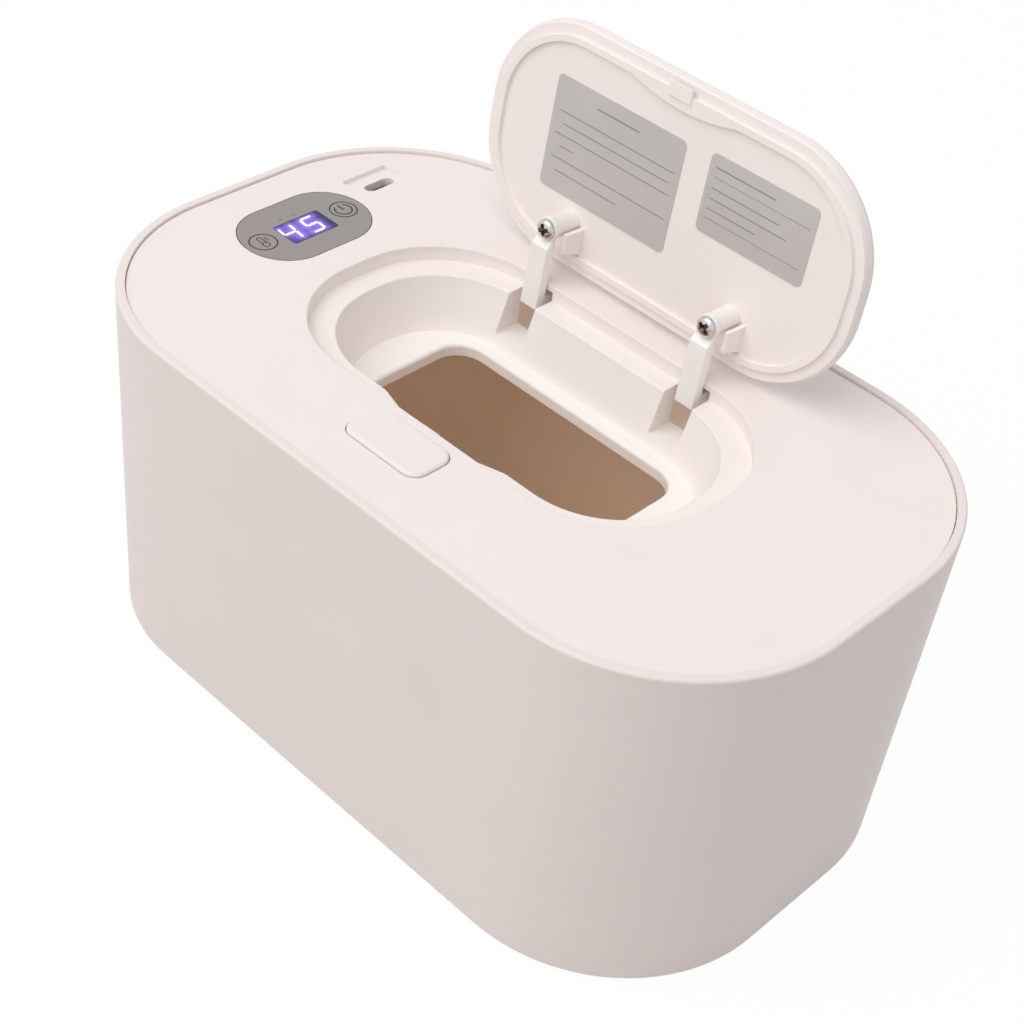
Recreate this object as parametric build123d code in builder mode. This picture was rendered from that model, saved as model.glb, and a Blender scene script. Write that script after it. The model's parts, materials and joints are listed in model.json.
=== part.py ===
from build123d import *
import math
import os

# A baby wipe warmer: a tub for the pack of wipes, a lift-off cover that holds the heater and the
# electronics, and a small lid over the dispensing opening that a button at the front lets go.
# Millimetres. The origin is on the floor at the centre of the footprint, +Z is up, +X runs along
# the length and -Y is the front, where the button is. The lid stands open at rest.

# ---- Tub ----
body_length = 210.0
body_width = 126.8
body_height = 97.7        # bottom edge of the shell to the top of its rim
body_corner = 47.6
body_draw_in = 1.55       # how far each side draws in towards the bottom
rim_wall = 2.3
rim_round = 0.8
shell_wall = 2.4
shell_floor = 2.4
rib_thickness = 1.6
rib_height = 18.0
rib_inset = 1.7
rib_places_x = (-50.0, -17.0, 17.0, 50.0)
rib_places_y = (-12.0, 12.0)
foot_radius = 6.5
foot_proud = 1.0
foot_recess = 0.6
foot_round = 0.5
foot_end_margin = 30.0    # body's end to a foot's centre
foot_side_margin = 29.4
foot_gap = 0.1
liner_inset = 6.5         # body outline to the liner's outer wall
liner_wall = 1.5
liner_clearance = 2.0     # under the liner's bottom
liner_round = 6.0
liner_gap = 0.3           # liner's flange inside the shell, and its wall inside the ribs
flange_thickness = 1.6

# ---- Cover ----
panel_gap = 0.15          # parting line between rim and cover
panel_drop = 0.7          # top panel below the top of the rim
panel_thickness = 1.6
skirt_height = 10.2
skirt_wall = 1.6
skirt_seat_gap = 0.1
seat_end_margin = 46.4    # body's end to the end of the lid seat
seat_side_margin = 31.45
seat_corner_share = 0.44  # corner radius to the seat's width
seat_y = -0.3
seat_depth = 4.05         # panel down to the ledge that the lid rests on
seat_wall = 1.6
seat_edge_round = 0.5
panel_edge_round = 0.35
ledge_end = 6.3           # width of the ledge that the lid rests on, at its ends and sides
ledge_side = 5.85
ledge_corner = 3.9        # seat's corner radius to the mouth's
basin_depth = 13.9
basin_lean = 18.0
basin_floor_wall = 1.6
opening_end_margin = 15.1  # mouth's edge to the dispensing opening's
opening_side_margin = 8.65
opening_corner = 7.6
opening_round = 1.0
opening_lip = 1.75        # lip below the basin's floor that lines the tray's opening
opening_lip_wall = 1.4
boss_radius = 3.5
boss_bore = 12.0
small_boss_radius = 2.6
small_bore = 4.5
ear_boss_height = 4.0
notch_outer = 13.2        # half width of the latch notch at the step
notch_inner = 20.2        # half width of the notch at the ledge's inner edge
notch_depth = 7.0         # cut below the ledge for the latch
notch_flare = 2.1         # how far the notch's flared mouth reaches across the ledge
notch_reach = 2.6         # cut beyond the ledge's edge, to clear the basin's sloping wall

# ---- Under tray and heater ----
tray_inset = 9.0          # body outline to the tray's outer wall
tray_wall = 1.6
tray_top_gap = 0.2
tray_setback = 2.0        # tray behind the edge of the dispensing opening
tray_round = 3.0
tray_screw_inset = (35.0, 19.4)      # body's end and side to an outer tray screw
tray_screw_mid_share = 0.1333        # place of a middle tray screw along the body
tray_screw_mid_inset = 17.4
heater_end_margin = 30.0  # body's end to the heater plate's
heater_side_margin = 25.4
heater_corner = 20.0
heater_thickness = 1.5
heater_setback = 3.0
film_thickness = 0.4
film_inset = 1.5

# ---- Electronics ----
key_film_length = 24.6    # along X
key_film_width = 37.6     # along Y
key_film_corner = 12.2
key_film_thickness = 0.3
key_film_end = 25.5       # body's end and side to the key film's centre
key_film_side = 62.95
key_film_gap = 0.08
lens_length = 9.0
lens_width = 14.5
lens_corner = 0.6
lens_shift_x = 0.6        # display window's centre from the key film's
lens_shift_y = -0.22
lens_gap = 0.1
display_margin = 1.2
board_drop = 6.5          # underside of the panel to the top of the board
board_thickness = 1.6
board_length = 24.0
board_width = 56.5
board_corner = 2.0
board_screw_inset = 3.0
board_end = 30.0          # body's end and side to the board's centre
board_side = 56.2
touch_pad_radius = 3.2
touch_pad_wall = 0.9
touch_pad_y = 13.2
usb_end = 21.5            # body's end and side to the inlet's centre
usb_side = 33.6
usb_slot_length = 9.3
usb_slot_width = 3.8
usb_shell_length = 8.94
usb_shell_width = 3.26
usb_shell_wall = 0.3
usb_mouth_gap = 0.1
usb_back_wall = 1.0
usb_tongue_length = 6.6
usb_tongue_width = 0.8
usb_recess_length = 8.9   # along X, the deep end is away from the middle
usb_recess_width = 15.0
usb_recess_depth = 1.2
usb_recess_side = 6.3     # slot centre to the recess's deep end
usb_pad_margin = 2.4
usb_pad_drop = 1.0
usb_end_flat = 0.05       # keeps a short flat at the ends of the slot and the socket's shell
sensor_radius = 1.5
sensor_length = 5.0
sensor_round = 0.9
sensor_shift = 27.0       # along the cover from the board's centre
cutoff_length = 8.0
cutoff_width = 4.0
cutoff_height = 3.0
cutoff_round = 0.6
cutoff_shift = 41.0
heater_parts_side = 32.4  # body's side to the sensor and the cutoff
lead_radius = 0.7
lead_spacing = 2.6
lead_bend = 4.0
lead_drop_bend = 2.2
lead_start_shift = 5.0    # along the cover from the board's centre
lead_end_shift = 18.0
lead_side = 39.4          # body's side to the leads' ends on the board
lead_run_above_tray = 2.4
parts_gap = 0.2

# ---- Lid ----
lid_end_gap = 1.5         # lid's flange inside the seat, at its ends and sides
lid_side_gap = 1.8
lid_corner_gap = 1.7
lid_flare = 0.65          # how far the side wall swells past the flange
lid_flare_depth = 1.95
lid_thickness = 4.05
lid_edge_round = 1.9
lid_wall = 1.6
flange_plate = 0.8
lid_nest_gap = 0.15
lid_under_gap = 0.05
ridge_inset = 2.6
ridge_width = 1.6
ridge_height = 1.05
bulge_half_width = 18.4
bulge_reach = 6.6         # inner side of the bulge from the lid's front edge
catch_x = -1.2
catch_width = 6.8
catch_gap = 0.9           # slot between the lid's land and the catch
catch_lip = 0.6
catch_tip = 0.7           # tip of the catch from the lid's front edge
label_thickness = 0.2
label_corner = 1.5
label_large_share = (0.357, 0.491)   # size and place to the lid's length and width
label_large_place = (-0.1515, 0.532)
label_small_share = (0.276, 0.332)
label_small_place = (0.2303, 0.632)

# ---- Hinge ----
hinge_setback = 5.25      # pivot behind the back of the seat
hinge_drop = 5.1          # pivot below the top of the rim
lid_edge_gap = 1.55       # the lid's hinge edge in front of the back of the seat, when closed
lid_rest_gap = 0.1
lid_open_angle = 94.8
arm_share = 0.221         # each arm's centre from the middle, to the seat's length
arm_width = 5.3
arm_thickness = 2.9
arm_front = 10.3          # front face of the leg from the lid's flange plane
arm_link_drop = 5.65      # centre line of the link below the top of the rim
arm_eye_radius = 2.5
tab_thickness = 1.5       # thin end of the arm, under the screw
eyelet_shift = 0.35
eyelet_v = 12.3
eyelet_radius = 3.0
slot_width = 9.0
slot_reach = 5.8          # pocket in front of the mouth's back edge
slot_back_gap = 1.35      # pocket's end in front of the back of the seat
sill_drop = 15.75         # slot floor below the top of the rim
cheek_wall = 1.2
pin_radius = 1.2
pin_clearance = 0.05
pin_seat = 0.02
lug_wall = 1.6
lug_gap = 0.4
lug_radius = 2.6
spring_room = 5.8
spring_gap = 1.0          # arm to the nearest coil of its spring
spring_wire = 0.35
spring_coil_radius = 1.9
spring_pitch = 0.95
spring_leg = 6.5
spring_turns = 4.1
spring_rise = 6.0
shoulder_v = 7.7          # top of the leg's front face, below its slope back to the thin end
arm_boss_radius = 2.9
block_offset = 3.9        # side of the locating block from the arm's centre line
block_width = 1.1
block_foot = 4.8          # the block's low end at the lid, and at its tip
block_low = 6.7
block_high = 11.9
block_height = 6.5

# ---- Button and latch ----
button_x = 0.3
button_setback = 9.5      # button's centre in front of the seat
button_length = 24.2
button_width = 12.9
button_corner = 3.7
button_gap = 0.25
button_proud = 0.85
button_round = 0.85
button_travel = 1.5
button_wall = 1.6
button_skirt = 1.0
button_skirt_height = 1.2
button_skirt_gap = 0.3
latch_drop = 8.6          # top of the latch plate below the top of the rim
latch_thickness = 2.0
latch_half_width = 5.5
latch_tail = 5.25         # latch plate's end in front of the button's centre
latch_reach = 1.65        # latch plate behind the front of the seat
tooth_drop = 3.85         # top of the tooth below the top of the rim
tooth_thickness = 0.5
tooth_round = 0.3
tooth_width = 5.0
tooth_reach = 3.15        # tip of the tooth behind the front of the seat
tooth_post = 1.3
fork_inner = 2.0
fork_half = 1.7
fork_gap = 0.4
fork_wall = 1.4
fork_reach = 10.4         # cross pin below the panel's underside
cam_pin_radius = 1.0
cam_gap = 0.1
web_reach = 4.2
web_drop = 3.8            # bottom of the web below the cross pin
web_half = 1.5
housing_half = 15.0
housing_wall = 1.4
housing_tail = 8.45       # housing's closed end in front of the button's centre
housing_seat_gap = 1.95   # housing's open end in front of the seat
housing_floor_drop = 17.0  # floor of the housing below the top of the rim
housing_ear = 6.5
rail_inner = 4.2
rail_wall = 1.0
rail_gap = 0.1
return_spring_x = 8.0
return_spring_radius = 1.6
return_spring_wire = 0.3
return_spring_pitch = 3.0
ear_thickness = 2.0

# ---- Screws ----
screw_radius = 1.4
screw_head_radius = 2.6
screw_head_height = 1.8
screw_gap = 0.15
thread_gap = 0.02
arm_screw_length = 7.0
arm_screw_bite = 6.0
tray_screw_length = 10.0
small_screw_length = 5.0
small_screw_radius = 1.0
small_head_radius = 1.9
small_head_height = 1.4
recess_radius = 1.3
recess_width = 0.6
recess_depth = 1.0
head_dome = 0.45          # rounding of a screw's head, of its height

# ---- Levels, places and planes that follow ----
cut_over = 0.5            # how far a cut runs past the face that it opens
rim_top = foot_proud + body_height
panel_top = rim_top - panel_drop
panel_under = panel_top - panel_thickness
ledge_top = panel_top - seat_depth
ledge_under = ledge_top - seat_wall
basin_floor_top = ledge_top - basin_depth
basin_floor_under = basin_floor_top - basin_floor_wall
skirt_bottom = panel_under - skirt_height
flange_top = skirt_bottom - skirt_seat_gap
flange_under = flange_top - flange_thickness
rib_bottom = flange_under - rib_height
shell_floor_top = foot_proud + shell_floor
liner_bottom = shell_floor_top + liner_clearance
liner_floor_top = liner_bottom + liner_wall
tray_top = basin_floor_under
tray_under = tray_top - tray_wall
heater_top = tray_under - film_thickness
heater_under = heater_top - heater_thickness
board_top = panel_under - board_drop
board_under = board_top - board_thickness
ear_top = panel_under - ear_boss_height
sill_top = rim_top - sill_drop
panel_inset = rim_wall + panel_gap
body_draft = math.degrees(math.atan(body_draw_in / body_height))
flare_angle = math.degrees(math.atan(lid_flare / lid_flare_depth))
ledge_depth_below_panel = panel_under - ledge_top

seat_length = body_length - 2 * seat_end_margin
seat_width = body_width - 2 * seat_side_margin
seat_corner = seat_width * seat_corner_share
mouth_length = seat_length - 2 * ledge_end
mouth_width = seat_width - 2 * ledge_side
mouth_corner = seat_corner - ledge_corner
opening_length = mouth_length - 2 * opening_end_margin
opening_width = mouth_width - 2 * opening_side_margin
heater_length = body_length - 2 * heater_end_margin
heater_width = body_width - 2 * heater_side_margin
lid_length = seat_length - 2 * lid_end_gap
lid_width = seat_width - 2 * lid_side_gap
lid_corner = seat_corner - lid_corner_gap
seat_plane = Plane((0, seat_y, 0))
seat_back_y = seat_y + seat_width / 2
seat_front_y = seat_y - seat_width / 2
mouth_front_y = seat_y - mouth_width / 2
mouth_back_y = seat_y + mouth_width / 2
slot_front_y = mouth_back_y - slot_reach
slot_back_y = seat_back_y - slot_back_gap
slot_cut_back_y = seat_back_y + seat_wall + cut_over
notch_back_y = seat_front_y - seat_wall - cut_over
notch_points = [
    (-notch_inner, mouth_front_y + notch_reach),
    (-notch_inner, mouth_front_y),
    (-notch_outer, mouth_front_y - notch_flare),
    (-notch_outer, notch_back_y),
    (notch_outer, notch_back_y),
    (notch_outer, mouth_front_y - notch_flare),
    (notch_inner, mouth_front_y),
    (notch_inner, mouth_front_y + notch_reach),
]
foot_x = body_length / 2 - foot_end_margin
foot_y = body_width / 2 - foot_side_margin
foot_places = [(sx * foot_x, sy * foot_y) for sx in (-1, 1) for sy in (-1, 1)]
tray_screw_spots = (
    (body_length / 2 - tray_screw_inset[0], body_width / 2 - tray_screw_inset[1]),
    (body_length * tray_screw_mid_share, body_width / 2 - tray_screw_mid_inset),
)
tray_screw_places = [(sx * x, sy * y) for x, y in tray_screw_spots for sx in (-1, 1) for sy in (-1, 1)]
key_film_x = key_film_end - body_length / 2
key_film_y = body_width / 2 - key_film_side
lens_x = key_film_x + lens_shift_x
lens_y = key_film_y + lens_shift_y
board_x = board_end - body_length / 2
board_y = body_width / 2 - board_side
usb_x = usb_end - body_length / 2
usb_y = body_width / 2 - usb_side
sensor_x = board_x + sensor_shift
cutoff_x = board_x + cutoff_shift
heater_parts_y = body_width / 2 - heater_parts_side
lead_start_x = board_x + lead_start_shift
lead_end_x = board_x + lead_end_shift
lead_start_y = body_width / 2 - lead_side
lead_ends = [(lead_end_x, heater_parts_y + side * lead_spacing / 2) for side in (-1, 1)]
board_screw_places = [
    (
        board_x + sx * (board_length / 2 - board_screw_inset),
        board_y + sy * (board_width / 2 - board_screw_inset),
    )
    for sx, sy in ((1, -1), (1, 1), (-1, -1))
]
key_plane = Plane((key_film_x, key_film_y, 0))
lens_plane = Plane((lens_x, lens_y, 0))
board_plane = Plane((board_x, board_y, 0))
usb_plane = Plane((usb_x, usb_y, 0))
usb_recess_x = usb_x - usb_recess_side
usb_wedge = [
    (usb_recess_x, panel_top + cut_over),
    (usb_recess_x, panel_top - usb_recess_depth),
    (usb_recess_x + usb_recess_length, panel_top),
    (usb_recess_x + usb_recess_length, panel_top + cut_over),
]
usb_pad_x = (usb_recess_x - usb_pad_margin, usb_recess_x + usb_recess_length + usb_pad_margin)
usb_pad_y = (
    usb_y - usb_recess_width / 2 - usb_pad_margin,
    usb_y + usb_recess_width / 2 + usb_pad_margin,
)

# The lid's flange plane: placed closed on the ledge, then swung open about the pivot. Its local
# x is along the hinge, its local y runs up the lid from the hinge edge, and its local z points
# out of the lid's inner face.
hinge_y = seat_back_y + hinge_setback
hinge_z = rim_top - hinge_drop
lid_edge_y = seat_back_y - lid_edge_gap
closed_dy = lid_edge_y - hinge_y
closed_dz = ledge_top + ridge_height + lid_rest_gap - hinge_z
swing = math.radians(lid_open_angle)
lean = swing - math.pi / 2
lid_edge_open = (
    0,
    hinge_y + closed_dy * math.cos(swing) + closed_dz * math.sin(swing),
    hinge_z - closed_dy * math.sin(swing) + closed_dz * math.cos(swing),
)
lid_normal = (0, -math.cos(lean), math.sin(lean))
lid_plane = Plane(origin=lid_edge_open, x_dir=(1, 0, 0), z_dir=lid_normal)
lid_centre = Plane(
    origin=lid_plane.from_local_coords((0, lid_width / 2, 0)), x_dir=(1, 0, 0), z_dir=lid_normal
)
arm_spread = seat_length * arm_share
arm_places = (-arm_spread, arm_spread)
arm_back = arm_front - arm_thickness
tab_front = arm_back + tab_thickness
link_z = rim_top - arm_link_drop
lug_near = arm_width / 2 + lug_gap + lug_wall / 2
lug_far = arm_width / 2 + lug_gap + spring_room + lug_wall / 2
lug_places = [side * (arm_spread + reach) for side in (-1, 1) for reach in (lug_near, -lug_far)]

ridge_line = lid_width - ridge_inset - ridge_width / 2
catch_back = lid_width - ridge_inset - ridge_width

button_y = seat_front_y - button_setback
latch_back_y = button_y - latch_tail
latch_front_y = seat_front_y + latch_reach
tooth_tip_y = seat_front_y + tooth_reach
housing_back_y = button_y - housing_tail
housing_front_y = seat_front_y - housing_seat_gap
button_plane = Plane((button_x, button_y, 0))
cam_y = button_y
screw_shank = screw_radius - thread_gap
small_shank = small_screw_radius - thread_gap
button_top = panel_top + button_proud
button_ceiling = button_top - button_wall
skirt_top = panel_under - button_skirt_gap
skirt_under = skirt_top - button_skirt_height
latch_top = rim_top - latch_drop
latch_under = latch_top - latch_thickness
tooth_top = rim_top - tooth_drop
cam_z = panel_under - fork_reach
web_bottom = cam_z - web_drop
housing_floor_top = rim_top - housing_floor_drop
ear_places = [(sx * (housing_half + housing_ear / 2), button_y) for sx in (-1, 1)]


near = 0.01               # reach of the face and edge pickers


def lid_point(v, h):
    """The world y and z of a point v up the lid and h out of its inner face."""
    spot = lid_plane.from_local_coords(Vector(0, v, h))
    return (spot.Y, spot.Z)


def draw_at(z):
    """How far the shell's sides have drawn in at a level."""
    return body_draw_in * (rim_top - z) / body_height


def outline(length, width, corner, inset=0.0, mode=Mode.ADD):
    """A rounded rectangle, drawn in by inset all round."""
    RectangleRounded(length - 2 * inset, width - 2 * inset, corner - inset, mode=mode)


def body_outline(inset=0.0, mode=Mode.ADD):
    outline(body_length, body_width, body_corner, inset, mode)


def screw(plane, shank, head, head_height, length):
    """A pan-head screw with a cross recess: its head stands on the plane, its shank runs below."""
    with BuildSketch(plane) as disc:
        Circle(head)
    extrude(disc.sketch, amount=head_height)
    rims = edges(Select.LAST).sort_by(Axis(plane.origin, plane.z_dir))
    fillet(rims[-1], head_height * head_dome)
    with BuildSketch(plane) as core:
        Circle(shank)
    extrude(core.sketch, amount=-length)
    with BuildSketch(plane.offset(head_height)) as cross:
        Rectangle(2 * recess_radius, recess_width)
        Rectangle(recess_width, 2 * recess_radius)
    extrude(cross.sketch, amount=-recess_depth, mode=Mode.SUBTRACT)


def box(x0, x1, y0, y1, z0, z1, mode=Mode.ADD):
    """A straight block between its two corners."""
    with BuildSketch(Plane.XY.offset(z0)) as base:
        with Locations(((x0 + x1) / 2, (y0 + y1) / 2)):
            Rectangle(x1 - x0, y1 - y0)
    extrude(base.sketch, amount=z1 - z0, mode=mode)


def post(places, radius, z0, z1, mode=Mode.ADD):
    """Round posts or holes at several places."""
    with BuildSketch(Plane.XY.offset(z0)) as base:
        with Locations(*places):
            Circle(radius)
    extrude(base.sketch, amount=z1 - z0, mode=mode)


def level_face(builder, z):
    """The largest flat face at a level."""
    flat = builder.faces().filter_by(Axis.Z).filter_by_position(Axis.Z, z - near, z + near)
    return flat.sort_by(SortBy.AREA)[-1]


def write(builder, name):
    builder.part.label = name
    export_step(builder.part, f"parts/{name}.step")


os.makedirs("parts", exist_ok=True)

# ---- Tub: shell, liner, feet ----
with BuildPart() as outer_shell:
    with BuildSketch(Plane.XY.offset(rim_top)):
        body_outline()
    extrude(amount=-body_height, taper=body_draft)
    fillet(level_face(outer_shell, rim_top).outer_wire().edges(), rim_round)
    with BuildSketch(Plane.XY.offset(flange_under)):
        body_outline(shell_wall + draw_at(flange_under))
    extrude(amount=shell_floor_top - flange_under, taper=body_draft, mode=Mode.SUBTRACT)
    # Ribs across the cavity, cleared in the middle, carry the liner's flange.
    with BuildSketch(Plane.XY.offset(rib_bottom)):
        with Locations(*[(x, 0) for x in rib_places_x]):
            Rectangle(rib_thickness, body_width - 2 * rib_inset)
        with Locations(*[(0, y) for y in rib_places_y]):
            Rectangle(body_length - 2 * rib_inset, rib_thickness)
    extrude(amount=rib_height)
    with BuildSketch(Plane.XY.offset(rib_bottom)):
        body_outline(liner_inset - liner_gap)
    extrude(amount=rib_height, mode=Mode.SUBTRACT)
    with BuildSketch(Plane.XY.offset(flange_under)):
        body_outline(rim_wall)
    extrude(amount=rim_top - flange_under, mode=Mode.SUBTRACT)
    post(foot_places, foot_radius + foot_gap, foot_proud, foot_proud + foot_recess, Mode.SUBTRACT)
write(outer_shell, "outer_shell")

with BuildPart() as liner_cavity:
    with BuildSketch(Plane.XY.offset(liner_floor_top)):
        body_outline(liner_inset + liner_wall)
    extrude(amount=flange_top - liner_floor_top)
    fillet(level_face(liner_cavity, liner_floor_top).edges(), liner_round - liner_wall)

with BuildPart() as inner_liner:
    with BuildSketch(Plane.XY.offset(liner_bottom)):
        body_outline(liner_inset)
    extrude(amount=flange_top - liner_bottom)
    fillet(level_face(inner_liner, liner_bottom).edges(), liner_round)
    with BuildSketch(Plane.XY.offset(flange_under)):
        body_outline(rim_wall + liner_gap)
    extrude(amount=flange_thickness)
    add(liner_cavity.part, mode=Mode.SUBTRACT)
write(inner_liner, "inner_liner")

for number, place in enumerate(foot_places, 1):
    with BuildPart() as rubber_foot:
        post([place], foot_radius, 0, foot_proud + foot_recess)
        fillet(rubber_foot.edges().group_by(Axis.Z)[0], foot_round)
    write(rubber_foot, f"rubber_foot_{number}")

# ---- Top cover: panel, skirt, lid seat and basin in one moulding ----
with BuildPart() as top_cover:
    with BuildSketch(Plane.XY.offset(panel_under)):
        body_outline(panel_inset)
    extrude(amount=panel_thickness)
    with BuildSketch(Plane.XY.offset(skirt_bottom)):
        body_outline(panel_inset)
        body_outline(panel_inset + skirt_wall, mode=Mode.SUBTRACT)
    extrude(amount=skirt_height)
    with BuildSketch(seat_plane.offset(ledge_under)):
        outline(seat_length, seat_width, seat_corner, -seat_wall)
    extrude(amount=panel_under - ledge_under)
    with BuildSketch(seat_plane.offset(ledge_under)):
        outline(mouth_length, mouth_width, mouth_corner, -seat_wall)
    extrude(amount=basin_floor_under - ledge_under, taper=basin_lean)
    with BuildSketch(seat_plane.offset(basin_floor_under)):
        outline(opening_length, opening_width, opening_corner, -opening_lip_wall)
    extrude(amount=-opening_lip)
    # Pockets behind the hinge slots, each with a floor and two cheeks.
    for x in arm_places:
        half = slot_width / 2 + cheek_wall
        box(x - half, x + half, slot_front_y, slot_back_y, sill_top - cheek_wall, ledge_top)
    # The seat, the basin and the dispensing opening.
    with BuildSketch(seat_plane.offset(ledge_top)):
        outline(seat_length, seat_width, seat_corner)
    extrude(amount=panel_top - ledge_top, mode=Mode.SUBTRACT)
    with BuildSketch(seat_plane.offset(ledge_top)):
        outline(mouth_length, mouth_width, mouth_corner)
    extrude(amount=-basin_depth, taper=basin_lean, mode=Mode.SUBTRACT)
    with BuildSketch(seat_plane.offset(basin_floor_under - opening_lip)):
        outline(opening_length, opening_width, opening_corner)
    extrude(amount=opening_lip + basin_floor_wall, mode=Mode.SUBTRACT)
    fillet(level_face(top_cover, basin_floor_top).inner_wires()[0].edges(), opening_round)
    fillet(level_face(top_cover, ledge_top).inner_wires()[0].edges(), seat_edge_round)
    fillet(level_face(top_cover, panel_top).edges(), panel_edge_round)
    # Hinge slots, open at the back under the panel.
    for x in arm_places:
        half = slot_width / 2
        box(x - half, x + half, slot_front_y, slot_cut_back_y, sill_top, panel_under, Mode.SUBTRACT)
    # Latch notch through the ledge and the step.
    with BuildSketch(Plane.XY.offset(ledge_top - notch_depth)):
        with BuildLine():
            Polyline(*notch_points, close=True)
        make_face()
    extrude(amount=notch_depth + ledge_depth_below_panel, mode=Mode.SUBTRACT)
    # Lugs for the hinge pins.
    for x in lug_places:
        with BuildSketch(Plane.YZ.offset(x)):
            with Locations((hinge_y, (panel_under + hinge_z) / 2)):
                Rectangle(2 * lug_radius, panel_under - hinge_z)
            with Locations((hinge_y, hinge_z)):
                Circle(lug_radius)
                Circle(pin_radius + pin_seat, mode=Mode.SUBTRACT)
        extrude(amount=lug_wall / 2, both=True)
    # Screw bosses for the tray, the board and the latch housing.
    post(tray_screw_places, boss_radius, tray_top, panel_under)
    post(tray_screw_places, screw_radius, tray_top, tray_top + boss_bore, Mode.SUBTRACT)
    post(board_screw_places, small_boss_radius, board_top, panel_under)
    post(board_screw_places, small_screw_radius, board_top, board_top + small_bore, Mode.SUBTRACT)
    post(ear_places, small_boss_radius, ear_top, panel_under)
    post(ear_places, small_screw_radius, ear_top, ear_top + small_bore, Mode.SUBTRACT)
    # Button opening.
    with BuildSketch(button_plane.offset(panel_under)):
        outline(button_length, button_width, button_corner, -button_gap)
    extrude(amount=panel_thickness, mode=Mode.SUBTRACT)
    # Recess for the key film, and the display window through it.
    with BuildSketch(key_plane.offset(panel_top - key_film_thickness)):
        outline(key_film_length, key_film_width, key_film_corner, -key_film_gap)
    extrude(amount=key_film_thickness, mode=Mode.SUBTRACT)
    with BuildSketch(lens_plane.offset(panel_under)):
        outline(lens_length, lens_width, lens_corner, -lens_gap)
    extrude(amount=panel_thickness, mode=Mode.SUBTRACT)
    # Charging inlet: a pad under the panel, a sloping recess and the slot.
    with BuildSketch(Plane.XY.offset(panel_under - usb_pad_drop)):
        with Locations((sum(usb_pad_x) / 2, sum(usb_pad_y) / 2)):
            Rectangle(usb_pad_x[1] - usb_pad_x[0], usb_pad_y[1] - usb_pad_y[0])
        body_outline(tray_inset + tray_wall + tray_top_gap, Mode.INTERSECT)
    extrude(amount=usb_pad_drop)
    with BuildSketch(Plane(origin=(0, usb_y, 0), x_dir=(1, 0, 0), z_dir=(0, -1, 0))):
        with BuildLine():
            Polyline(*usb_wedge, close=True)
        make_face()
    extrude(amount=usb_recess_width / 2, both=True, mode=Mode.SUBTRACT)
    with BuildSketch(usb_plane.offset(panel_under - usb_pad_drop)):
        outline(usb_slot_width, usb_slot_length, usb_slot_width / 2 - usb_end_flat)
    extrude(amount=panel_thickness + usb_pad_drop, mode=Mode.SUBTRACT)
write(top_cover, "top_cover")

# ---- Under tray, heater and electronics ----
with BuildPart() as under_tray:
    with BuildSketch(Plane.XY.offset(tray_under)):
        body_outline(tray_inset)
    extrude(amount=panel_under - tray_top_gap - tray_under)
    fillet(level_face(under_tray, tray_under).edges(), tray_round)
    with BuildSketch(Plane.XY.offset(tray_top)):
        body_outline(tray_inset + tray_wall)
    extrude(amount=panel_under - tray_top, mode=Mode.SUBTRACT)
    with BuildSketch(seat_plane.offset(tray_under)):
        outline(opening_length, opening_width, opening_corner, -tray_setback)
    extrude(amount=tray_wall, mode=Mode.SUBTRACT)
    post(tray_screw_places, screw_radius + screw_gap, tray_under, tray_top, Mode.SUBTRACT)
    post([(sensor_x, heater_parts_y)], sensor_radius + parts_gap, tray_under, tray_top, Mode.SUBTRACT)
    box(
        cutoff_x - cutoff_length / 2 - parts_gap,
        cutoff_x + cutoff_length / 2 + parts_gap,
        heater_parts_y - cutoff_width / 2 - parts_gap,
        heater_parts_y + cutoff_width / 2 + parts_gap,
        tray_under,
        tray_top,
        Mode.SUBTRACT,
    )
    post(lead_ends, lead_radius + parts_gap, tray_under, tray_top, Mode.SUBTRACT)
write(under_tray, "under_tray")

with BuildPart() as heating_film:
    with BuildSketch(seat_plane.offset(heater_top)):
        outline(heater_length, heater_width, heater_corner, film_inset)
        outline(opening_length, opening_width, opening_corner, -heater_setback - film_inset, Mode.SUBTRACT)
    extrude(amount=film_thickness)
write(heating_film, "heating_film")

with BuildPart() as heating_plate:
    with BuildSketch(seat_plane.offset(heater_under)):
        outline(heater_length, heater_width, heater_corner)
        outline(opening_length, opening_width, opening_corner, -heater_setback, Mode.SUBTRACT)
    extrude(amount=heater_thickness)
write(heating_plate, "heating_plate")

with BuildPart() as temperature_sensor:
    post([(sensor_x, heater_parts_y)], sensor_radius, tray_under, tray_under + sensor_length)
    fillet(temperature_sensor.edges().group_by(Axis.Z)[-1], sensor_round)
write(temperature_sensor, "temperature_sensor")

with BuildPart() as thermal_cutoff:
    box(
        cutoff_x - cutoff_length / 2,
        cutoff_x + cutoff_length / 2,
        heater_parts_y - cutoff_width / 2,
        heater_parts_y + cutoff_width / 2,
        tray_under,
        tray_under + cutoff_height,
    )
    fillet(thermal_cutoff.edges().filter_by(Axis.X), cutoff_round)
write(thermal_cutoff, "thermal_cutoff")

lead_run_z = tray_top + lead_run_above_tray
for number, shift in enumerate((-lead_spacing / 2, lead_spacing / 2), 1):
    with BuildPart() as heater_lead:
        with BuildLine() as route:
            FilletPolyline(
                (lead_start_x, lead_start_y + shift, board_under),
                (lead_start_x, lead_start_y + shift, lead_run_z),
                (lead_end_x, heater_parts_y + shift, lead_run_z),
                (lead_end_x, heater_parts_y + shift, tray_under),
                radius=[lead_bend, lead_drop_bend],
            )
        with BuildSketch(Plane((lead_start_x, lead_start_y + shift, board_under), z_dir=(0, 0, -1))):
            Circle(lead_radius)
        sweep(path=route.wire())
    write(heater_lead, f"heater_lead_{number}")

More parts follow.
